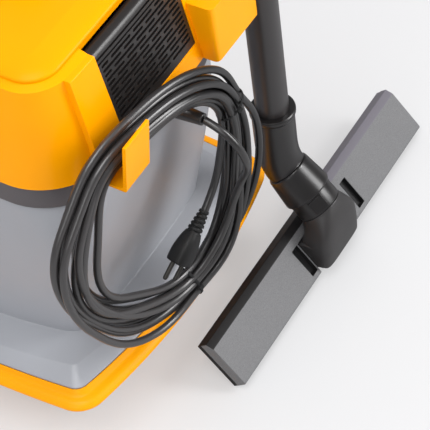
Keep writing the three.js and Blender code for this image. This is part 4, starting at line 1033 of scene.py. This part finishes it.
# %% Swivel cuff and lock ring
cuff = hoop([
    (19.9, -51), (27.5, -51), (27.5, -47), (24.55, -18), (23.75, -16), (19.9, -16),
], [0.6, 1.6, 3, 2, 0.8, 0.6])
piece("swivel_cuff_shell", at_bend(cuff), "swivel_cuff", material=black_gloss)
ring = sleeve(25, 19.9, -71.3, -51.3, 1.0, 72)
tab = moved(block(-8.5, 8.5, 22, 27, -68.3, -53.3), turn=turn_about("Z", -38))
piece("lock_ring_tab", at_bend(joined(ring, tab)), "lock_ring", material=black_gloss, edge=0.7)

# %% [markdown]
# A list of points typed by hand makes a stiff shape. A Catmull-Rom cubic passes through every one
# of them and needs no handles, so it suits a shape that is known at a few stations.

# %% Curves through points
def cubic(a, b, c, d, t):
    """The Catmull-Rom cubic from b at t = 0 to c at t = 1; a and d, on either side, set its slopes."""
    return b + 0.5 * t * (c - a + t * (2 * a - 5 * b + 4 * c - d + t * (3 * (b - c) + d - a)))


def smooth_rows(rows, steps):
    """A smooth curve through rows of numbers, such as points, with `steps` rows to each stretch."""
    padded = np.vstack([2 * rows[0] - rows[1], rows, 2 * rows[-1] - rows[-2]])
    t = np.linspace(0, 1, steps, endpoint=False)[None, :, None]
    fine = cubic(*[padded[k : len(padded) - 3 + k, None, :] for k in range(4)], t)
    return np.vstack([fine.reshape(-1, rows.shape[1]), rows[-1]])


print("a smooth curve through 3 rows, 6 steps apart:", len(smooth_rows(np.eye(3), 6)), "rows")

# %% [markdown]
# The neck grows from the round spigot into a wide flat foot round the pivot. No primitive does
# that. Sections are listed along it with their width, top, bottom and squareness, and a smooth
# curve through those rows gives the sections between.

# %% Tool neck
# Sections along the neck: place, half width, top, bottom, and how square the section is.
FACE = -27.9
PIVOT = (FACE - 3.2, -TOOL_END + 21.4)
NECK_STATIONS = np.array([
    [-TOOL_END - 0.6, 34.2, -17, FACE - 9, 0.42], [PIVOT[1] - 14, 34.8, -9, FACE - 11, 0.42],
    [PIVOT[1] - 4, 35, 0.2, FACE - 11, 0.42], [-TOOL_START - 26, 34.6, 14, FACE - 11, 0.46],
    [-TOOL_START - 13, 30, 21.6, FACE + 0.9, 0.75],
    [-TOOL_START - 2, 25.6, 25, -25, 1], [-TOOL_START, 25, 25, -25, 1],
])


def signed_power(v, s):
    """|v|^s with the sign of v."""
    return np.sign(v) * np.abs(v) ** s


def squared_rings(rows, columns=72):
    """x = w |cos|^s, y = middle + h |sin|^s, each with its sign: round at s = 1, squarer below."""
    z, w, top, bottom, s = [rows[:, k, None] for k in range(5)]
    a = np.linspace(0, 2 * np.pi, columns, endpoint=False)[None]
    x = w * signed_power(np.cos(a), s)
    y = (top + bottom) / 2 + (top - bottom) / 2 * signed_power(np.sin(a), s)
    return np.stack([x, y, z + 0 * a], 2)


neck_skin = stack(squared_rings(smooth_rows(NECK_STATIONS, 6)))
print("sections along the neck:", len(smooth_rows(NECK_STATIONS, 6)))

# %% [markdown]
# The neck must clear the tool at every tilt. Its foot is therefore cut by the tool's sole and by
# the back of its notch, each swung to four places of the tilt, and a pivot drum and the spigot
# are added after that.

# %% Neck, cut free of the tool
drum = moved(crossways(rod(20.5, -35, 35, 1.5, 72)), (0, *PIVOT))
spigot = sleeve(19.6, 15.5, -TOOL_START - 1, -43.6, 0.6)


def swung(knife):
    """A cutting block at four places of the tool's tilt, so that the neck clears it all the way."""
    return [moved(knife, (0, *PIVOT), turn_about("X", angle)) for angle in (0, 20, 40, 60)]


sole_side = swung(block(-36, 36, FACE - 13.6 - PIVOT[0] - 60, FACE - 13.6 - PIVOT[0], -60, 40))
behind_notch = swung(block(-36, 36, -60, FACE + 0.9 - PIVOT[0], 20.9, 90))
neck = carved(neck_skin, *sole_side, *behind_notch)
drum = carved(drum, *sole_side)
neck = joined(neck, drum, spigot)
piece("tool_neck_shell", at_bend(neck), "tool_neck", material=neck_black_painted_light, edge=0.8, smooth=42)
piece("tool_pivot_pin", at_bend(moved(crossways(rod(2.5, -37.2, 37.2)), (0, *PIVOT))), "neck_pivot_pin")

# %% [markdown]
# The tool is one long moulding with a notch for the neck and a small pocket on each side of it.
# Its grained top, its rear side, painted dark as shade with a painted reflection at its far end,
# and the pockets, painted dark for the shade in them, take three finishes. Splitting the mesh
# would leave seams, so each face picks its finish by where it lies.

# %% Floor tool
HALF_LENGTH = 200.0
COVER_BOTTOM, SOLE_BOTTOM = FACE - 14.6, FACE - 20.8
profile = soft([
    (COVER_BOTTOM, -TOOL_START), (FACE - 5, -TOOL_START), (FACE, -TOOL_START - 8), (FACE, -TOOL_END),
    (COVER_BOTTOM, -TOOL_END),
], [0, 1, 1, 3, 0], closed=True)
notch_back = PIVOT[1] + 20.5 + 3 * GAP
notch = block(-35.3, 35.3, COVER_BOTTOM - 2, FACE + 4, -TOOL_END - 4, notch_back)
POCKETS = [(37.3, 47.8), (-70, -59)]
pockets = [block(a, b, FACE - 7, FACE + 3, PIVOT[1] - 15, notch_back) for a, b in POCKETS]
tool = carved(prism(profile, -HALF_LENGTH, HALF_LENGTH, "x"), notch, *pockets)
tool_shell = piece("tool_shell", at_bend(tool), "tool_cover", edge=1.3, smooth=40)
tool_shell.data.materials.append(tool_side_painted_shade)
tool_shell.data.materials.append(pocket_painted_shade)
x, y, z = np.array([tool[0][face].mean(axis=0) for face in tool[1]]).T
# Faces in the pockets take the painted shade of their recesses.
inside = np.any([(x > a - 0.1) & (x < b + 0.1) for a, b in POCKETS], axis=0)
inside &= (y < FACE - 0.5) & (z > PIVOT[1] - 15.1) & (z < notch_back + 0.1)
which = np.where(inside, 2, np.where(z > -TOOL_START - 8, 1, 0)).astype(np.int32)
tool_shell.data.polygons.foreach_set("material_index", which)
print("faces of the tool by finish:", np.bincount(which))

# %% [markdown]
# The sole closes the tool from below. It has the long suction mouth and two channels for the
# brush strips, all cut from one block.

# %% Sole plate
SOLE_HALF = HALF_LENGTH - 0.5
sole = block(-SOLE_HALF, SOLE_HALF, SOLE_BOTTOM, COVER_BOTTOM - GAP, -TOOL_END, -TOOL_START - 0.5)
middle = -(TOOL_START + TOOL_END) / 2
mouth = block(-182, 182, SOLE_BOTTOM - 1, COVER_BOTTOM + 1, middle - 6, middle + 6)
BRUSH_ROWS = {"inner": -TOOL_START - 6, "outer": -TOOL_END + 6}
channels = [
    block(-192, 192, SOLE_BOTTOM - 1, SOLE_BOTTOM + 3.5, z - 2.3, z + 2.3) for z in BRUSH_ROWS.values()
]
sole = carved(sole, mouth, *channels)
# The sole takes the same painted shade as the tool's rear side.
piece("sole_moulding", at_bend(sole), "sole_plate", material=tool_side_painted_shade, edge=0.6, smooth=40)

# %% [markdown]
# Each brush strip is a low spine with a row of tufts that splay a little and end unevenly. Hair
# particles would be too heavy for a part this small. Each tuft is a tapered box, all of them one
# array, and a fixed seed keeps them the same each time.

# %% Bristles
def tufts(z, seed, count=128):
    """Tuft k stands at x k on the strip; its tip strays by up to 0.6 and its length by 1.3."""
    rng = np.random.default_rng(seed)
    x = np.linspace(-190, 190, count)
    corners = np.array([(-1, -1), (1, -1), (1, 1), (-1, 1)]) * (1.35, 1.5)
    low = np.stack([x + rng.uniform(-0.6, 0.6, count), z + rng.uniform(-0.4, 0.4, count)], 1)
    tip = SOLE_BOTTOM - 5 + rng.uniform(0, 1.3, count)

    def quads(centre, size, y):
        """Four corners round each centre, at each one's height y."""
        x4 = centre[:, None, 0] + size * corners[:, 0]
        z4 = centre[:, None, 1] + size * corners[:, 1]
        return np.stack([x4, np.broadcast_to(np.reshape(y, (-1, 1)), (count, 4)), z4], 2)

    base_points = quads(np.stack([x, np.full(count, z)], 1), 1.0, np.full(count, SOLE_BOTTOM + 2))
    tip_points = quads(low, 0.8, tip)
    points = np.concatenate([tip_points, base_points], 1).reshape(-1, 3)
    box_faces = np.array([(0, 1, 2, 3), (7, 6, 5, 4), (4, 5, 1, 0), (5, 6, 2, 1), (6, 7, 3, 2), (7, 4, 0, 3)])
    faces = (box_faces[None] + 8 * np.arange(count)[:, None, None]).reshape(-1, 4).tolist()
    spine = block(-191.5, 191.5, SOLE_BOTTOM - 0.6, SOLE_BOTTOM + 3, z - 2, z + 2)
    return joined((points, faces), spine)


for seed, (name, z) in enumerate(BRUSH_ROWS.items()):
    piece(f"bristles_{name}", at_bend(tufts(z, seed)), f"brush_strip_{name}")

# %% [markdown]
# ## Mains lead
# The lead is one run of rubber cable: out of its strain relief, down in a short loop, ten times
# round the coil that hangs on the hook, and off to the plug. A coil's turns lie in layers, so each
# turn has its own berth across the bundle, and the cable steps over to the next berth once a turn,
# where the bundle is widest. All of it is drawn in the coil's own flat plane, and that plane is
# then swung about the hook.

# %% The coil's plane
HOOK = np.array([90.0, 203.5])
SWING = np.radians(10)
COIL_CENTRE = np.array([-28.0, 262.0])
CORD_RADIUS = 3.85


def hung(route):
    """Across, out and up in the coil's own plane, to machine millimetres: the plane swings about the hook."""
    u, n, z = np.asarray(route, float).T
    c, s = np.cos(SWING), np.sin(SWING)
    return np.stack([HOOK[0] + c * u + s * n, HOOK[1] - s * u + c * n, z], 1)


print("the coil's middle, hung:", hung([(COIL_CENTRE[0], 0, COIL_CENTRE[1])])[0].round(1))

# %% [markdown]
# A hung coil isn't a true ring. It sags below its hook, bulges where it is loose and is pinched
# where it is tied. A few angles give its middle radius and its half width, and the cubic that
# smooths the neck fills in between them, all the way round.

# %% Radius and width of the coil
# The angle, anticlockwise from the right; the bundle's middle radius there; its half width.
COIL_RING = np.array([
    [0, 107, 22], [30, 116, 33], [48, 122, 26], [66, 137, 20], [90, 131, 22], [115, 138, 19],
    [135, 140, 17], [155, 128, 21], [180, 115, 30], [210, 119, 34], [235, 125, 28], [262, 119, 27],
    [300, 105, 29], [330, 101, 18],
], float)


def ring_at(degrees):
    """Middle radius and half width of the coil, by a smooth cubic through the listed angles."""
    turn = np.mod(degrees, 360)
    row = np.searchsorted(COIL_RING[:, 0], turn, side="right") - 1
    near = [COIL_RING[(row + k) % len(COIL_RING)] for k in (-1, 0, 1, 2)]
    span = np.mod(near[2][:, 0] - near[1][:, 0], 360)
    t = ((turn - near[1][:, 0]) / span)[:, None]
    return cubic(*[rows[:, 1:] for rows in near], t).T


print("coil's middle radius and half width at the top:", ring_at(np.array([90.0]))[:, 0].round(1))

# %% [markdown]
# Ten turns of one radius would lie inside each other. So each has a berth across and through the
# bundle, listed in the order in which the cable was wound. A physics run could lay the cord too,
# but would lay it differently each time.

# %% Berths of the turns
# Across the bundle from -1, inside, to 1, outside, and out of its plane from -1, behind, to 1, in front.
BERTHS = np.array([
    [-0.45, 1.55], [-0.55, 1], [0, 1], [0.55, 1], [0.92, 0], [0.6, -1], [0.3, 0], [0, -1],
    [-0.3, 0], [-0.6, -1], [-0.95, 0], [-1.12, -0.35],
])
LAYER = 8.0
print("berths:", len(BERTHS), "in a bundle", 2 * (LAYER + CORD_RADIUS), "mm deep")

# %% [markdown]
# The route is one formula of the angle. Each turn keeps to its berth and then eases over to the
# next by a smooth step, so there is no kink. Away from the ties the strands sway and drift in slow
# waves that differ from turn to turn.

# %% Route round the coil
DRIFT, WAVER = 6.5, 2.4
# In degrees: the ties, where the lead joins and leaves the coil, and where a turn changes its berth.
TIES = (151.0, 256.0)
START, END = 187.0, 199.0
STEP_MIDDLE, STEP_HALF = 222.0, 40.0


def coil_route(turns=10, per_turn=56):
    """Points round the coil: radius = middle + half width x berth, with the berth eased over once a turn."""
    angle = np.linspace(START, END + 360 * turns, turns * per_turn + 2)
    count = (angle - STEP_MIDDLE) / 360
    turn_now = np.floor(count + 0.5)
    ease = np.clip((count - turn_now) * 360 / STEP_HALF * 0.5 + 0.5, 0, 1)
    ease = ease * ease * (3 - 2 * ease)
    first = np.clip(turn_now.astype(int), 0, len(BERTHS) - 2)
    berth = BERTHS[first] * (1 - ease[:, None]) + BERTHS[first + 1] * ease[:, None]
    middle, half_width = ring_at(angle)
    a = np.radians(angle)
    sway = 0.16 * berth[:, 1] * np.sin(a + 0.9) + 0.10 * np.sin(a * 1.37 + 2.1)
    calm = np.clip(np.minimum(angle - START, angle[-1] - angle) / 60, 0, 1)
    tied = sum(np.exp(-(((np.mod(angle - tie + 180, 360) - 180) / 13) ** 2)) for tie in TIES)
    across = np.clip(berth[:, 0] + sway * calm, -1.15, 1.02)
    drift = calm * (1 - tied) * (DRIFT * np.cos(a - 2.4 * count) + WAVER * np.cos(2 * a - 1.7 * count))
    radius = middle + (half_width - CORD_RADIUS) * across * (1 - 0.22 * tied) + drift
    out = (LAYER * berth[:, 1] + 0.9 * calm * np.sin(a * 0.73 + 1.0)) * (1 - 0.25 * tied)
    return np.stack([COIL_CENTRE[0] + radius * np.cos(a), out, COIL_CENTRE[1] + radius * np.sin(a)], 1)


print("points along the coil:", len(coil_route()))

# %% [markdown]
# Rubber is stiff and spreads a bend over a length of cord. The coil's formula doesn't know that,
# so its path is eased, point by point, before a tube is drawn round it. Smoothing the finished
# tube would thin it in its bends.

# %% Easing a path
def eased(path, passes=12):
    """Rubber evens out its bends: each pass moves every point half way to its neighbours' middle."""
    path = path.copy()
    for _ in range(passes):
        path[1:-1] = path[1:-1] / 2 + (path[:-2] + path[2:]) / 4
    return path


print("a bend eased 12 times:", eased(np.array([[0.0, 0], [1, 0], [1, 1], [2, 1]])).round(2).tolist())

# %% [markdown]
# A curve object with a round bevel would make a cord in two clicks, but its twist and its ends
# are hard to hold. Here a tube of one radius follows the path, and its frame is carried along
# with the least turning, so that no strand is wrung.

# %% A tube along a path
def frames_along(path):
    """Side and up directions along a path, each turned from the last as little as possible."""
    ahead = np.gradient(path, axis=0)
    ahead /= np.linalg.norm(ahead, axis=1)[:, None]
    side = np.zeros_like(path)
    side[0] = np.cross(ahead[0], [0.3, 0.2, 1])
    side[0] /= np.linalg.norm(side[0])
    for k in range(1, len(path)):
        s = side[k - 1] - ahead[k] * side[k - 1].dot(ahead[k])
        side[k] = s / np.linalg.norm(s)
    return side, np.cross(ahead, side)


def tube(path, radius, sides=14):
    """Rings of one radius round a path: point k + radius (cos a side k + sin a up k)."""
    side, up = frames_along(path)
    a = np.linspace(0, 2 * np.pi, sides, endpoint=False)[None, :, None]
    return stack(path[:, None, :] + radius * (np.cos(a) * side[:, None, :] + np.sin(a) * up[:, None, :]))


straight_cord = tube(np.array([(0, 0, 0), (9, 0, 0)], float), CORD_RADIUS)
print("a straight length of cord:", len(straight_cord[1]), "faces")

# %% [markdown]
# The lead leaves its boot straight out, falls in front of the coil, joins its first turn and,
# after the tenth, goes off to the plug. Its first and last points are listed and the coil
# gives the rest. No bend may be tighter than four times its thickness, so the tightest one is
# measured.

# %% The whole lead
LEAD = [
    (-102.4, 6, 342), (-104.6, 20.5, 339.8), (-106.8, 32.5, 331.8), (-109, 40.6, 319.8),
    (-111.5, 43.5, 305.5), (-115, 41.6, 290.5), (-119, 36, 276.5), (-123.5, 27.5, 263.5),
]
TAIL = [(-98, -0.5, 229), (-90, 0, 222)]
lead_route = hung(np.vstack([LEAD, coil_route()[3:-2], TAIL]))
lead_path = eased(walked(smooth_rows(lead_route, 12), spacing=6.0))
ahead = np.gradient(lead_path, axis=0)
bend_radius = np.linalg.norm(ahead, axis=1) ** 3 / np.linalg.norm(
    np.cross(ahead, np.gradient(ahead, axis=0)), axis=1).clip(1e-9)
print("tightest bend:", bend_radius.min().round(1), "mm")
lead_tube = tube(lead_path, CORD_RADIUS)
mains_lead = piece("mains_lead", lead_tube, "cord_lead", "cord_coil", "cord_tail", smooth=60)

# %% [markdown]
# The plug hangs in the coil at the end of the lead: a ribbed boot, a grip of squarish sections
# that widens to a blunt end, and two pins. The ribs are a turned zigzag. In the coil's plane X
# runs across, Y stands out of it and Z is up, and the plug lies in its own turned frame.

# %% Plug
PLUG_AT, PLUG_TURN = (-90.0, 0.0, 222.0), turn_about("Y", 90 + 38)
BOOT, BODY, PIN = 24.0, 34.0, 19.0


def in_coil(part, where, turn):
    """Places a part in the coil's plane, and swings it about the hook with the coil."""
    points, faces = moved(part, where, turn)
    return hung(points), faces


plug_ribs = [(0.5, 0)]
for i in range(5):
    r, z = 5.0 + 0.6 * i, 0.4 + 4.6 * i
    plug_ribs += [(r, z), (r + 0.4, z + 2.6), (r - 0.9, z + 3.0), (r - 0.7, z + 4.2)]
plug_boot = lathe(soft(plug_ribs + [(8, BOOT + 2), (0.5, BOOT + 3)], 0.5), 40)
plug_rows = np.array([
    [BOOT, 7.6, 7.6, -7.6, 0.8], [BOOT + 8, 10.4, 9.6, -9.6, 0.75], [BOOT + 20, 12.8, 11, -11, 0.7],
    [BOOT + BODY - 2, 12.8, 11, -11, 0.7], [BOOT + BODY, 11.4, 9.6, -9.6, 0.7],
])
plug_shell = stack(squared_rings(smooth_rows(plug_rows, 5), 56))
sockets = joined(*[moved(rod(2.7, BOOT + BODY - 8, BOOT + BODY + 2), (x, 0, 0)) for x in (-9.5, 9.5)])
plug_shell = carved(plug_shell, sockets)
plug = in_coil(joined(plug_boot, plug_shell), PLUG_AT, PLUG_TURN)
piece("mains_plug", plug, "plug_body", material=plug_black, edge=0.5, smooth=45)

# %% [markdown]
# The two pins are round, with a chamfered end that finds the socket. One turned shape serves
# both.

# %% Plug pins
pin_shape = lathe(soft([(0.5, BOOT + BODY - 7), (2.4, BOOT + BODY - 7), (2.4, BOOT + BODY + PIN - 1.5),
                        (1.4, BOOT + BODY + PIN), (0.5, BOOT + BODY + PIN)], 0.8), 32)
for number, x in ((1, 9.5), (2, -9.5)):
    pin = in_coil(moved(pin_shape, (x, 0, 0)), PLUG_AT, PLUG_TURN)
    piece(f"mains_pin_{number}", pin, f"plug_pin_{number}")

# %% [markdown]
# Two ties hold the bundle where it is pinched. Each is a strap drawn close round it, an ellipse
# as wide as the bundle is there, with a small clasp on the outer side.

# %% Ties
# The strap's section: how far out from the bundle, and how far along it.
STRAP_SECTION = [(0.4, -1.6), (1.5, -1.6), (1.5, 1.6), (0.4, 1.6)]
BUNDLE_DEPTH = 10.4


def oval(half_width, half_depth, z, columns=48):
    """A level ellipse: x = half width cos a, y = half depth sin a."""
    a = np.linspace(0, 2 * np.pi, columns, endpoint=False)
    return np.column_stack([half_width * np.cos(a), half_depth * np.sin(a), np.full(columns, z)])


for number, angle in enumerate(TIES, 1):
    middle_radius, half_width = [float(v[0]) for v in ring_at(np.array([angle]))]
    rings = [oval(half_width * 0.82 + out, BUNDLE_DEPTH + out, along) for out, along in STRAP_SECTION]
    strap = stack(soft(rings, 0.3, closed=True, steps=2), closed=True)
    clasp = block(-2.8, 2.8, 11.2, 14.2, -2.5, 2.5, 0.8)
    where = (COIL_CENTRE[0] + middle_radius * np.cos(np.radians(angle)), 0,
             COIL_CENTRE[1] + middle_radius * np.sin(np.radians(angle)))
    tie = in_coil(joined(strap, clasp), where, turn_about("Y", -angle))
    piece(f"cable_tie_{number}", tie, f"cord_tie_{number}", material=rubber, edge=0.3, smooth=45)

# %% [markdown]

# %% [markdown]
# ## Floor and light
# A pale floor that catches the shadow. Lit until it was white, it would burn out the machine too, so
# for the camera's own rays half of it is a glow, and in reflections it is darker.

# %% Floor
FLOOR_HALF = 4.0
corners = FLOOR_HALF * np.array([(-1, -1, 0), (1, -1, 0), (1, 1, 0), (-1, 1, 0)])
floor = bare_object("floor", (corners, [(0, 1, 2, 3)]))
floor_paint = finish("floor_paint", (218, 218, 219), 0.6, tint=0.004)
tree = floor_paint.node_tree
seen, mirrored = [node(tree, "LightPath", f"Is {way} Ray") for way in ("Camera", "Glossy")]
glow = node(tree, "Emission", "Emission", {"Color": (0.8, 0.8, 0.8, 1), "Strength": seen})
half_share = spread(tree, node(tree, "Math", "Value", {0: seen, 1: mirrored}), 0, 0.5)
lit = tree.nodes["Principled BSDF"].outputs["BSDF"]
surface = node(tree, "MixShader", "Shader", {"Fac": half_share, 1: lit, 2: glow})
fill(tree, tree.nodes["Material Output"], {"Surface": surface})
floor.data.materials.append(floor_paint)
print("floor:", 2 * FLOOR_HALF, "m square")

# %% [markdown]
# Broad lamps draw broad highlights on shells. One hangs overhead and a weak one at the side fills
# the shadows. Two stand off the machine's rear, where they draw bright lines along the tubes and
# the cord, which a lamp beside the camera would not.

# %% Lights
def area_light(name, where, towards, size, power):
    """A rectangular lamp at one place, aimed at another, in metres and watts."""
    data = bpy.data.lights.new(name, "AREA")
    data.shape = "RECTANGLE"
    data.size, data.size_y = size
    data.energy = power
    lamp = bpy.data.objects.new(name, data)
    lamp.location = where
    aim = np.array(towards, float) - np.array(where, float)
    lamp.rotation_mode = "QUATERNION"
    lamp.rotation_quaternion = Vector(aim).to_track_quat("-Z", "Y")
    bpy.context.scene.collection.objects.link(lamp)
    return lamp


area_light("overhead", (0.8, 0.3, 2.2), (0.1, 0.0, 0.2), (1.2, 1.2), 20)
area_light("side", (2.0, 0.5, 1.2), (0.1, 0, 0.3), (0.7, 0.8), 5)
area_light("glint", (-0.9, 1.6, 1.7), (-0.1, 0.2, 0.1), (0.6, 0.6), 17)
area_light("rear", (-1.1, 2.5, 1.2), (0.1, 0, 0.2), (1.2, 1.1), 28)
print("lamps:", len(bpy.data.lights))

# %% [markdown]
# The sky is brightest overhead and dimmer towards the horizon, and much dimmer where it is
# mirrored, so that black plastic keeps its contrast. An image of a studio would do it too, but
# the part reads nothing from disk.

# %% Sky of the studio
world = bpy.data.worlds.new("studio")
bpy.context.scene.world = world
world.use_nodes = True
sky = world.node_tree
upward = node(sky, "SeparateXYZ", "Z", {"Vector": node(sky, "TexCoord", "Generated")})
height_share = spread(sky, upward, 0.66, 0.95)
mirror_share = spread(sky, node(sky, "LightPath", "Is Glossy Ray"), 1.0, 0.3)
strength = node(sky, "Math", "Value", {0: height_share, 1: mirror_share}, operation="MULTIPLY")
fill(sky, sky.nodes["Background"], {"Color": (0.97, 0.97, 1.0, 1), "Strength": strength})
bpy.context.scene.view_settings.view_transform = "Standard"
print("sky:", len(sky.nodes), "nodes")
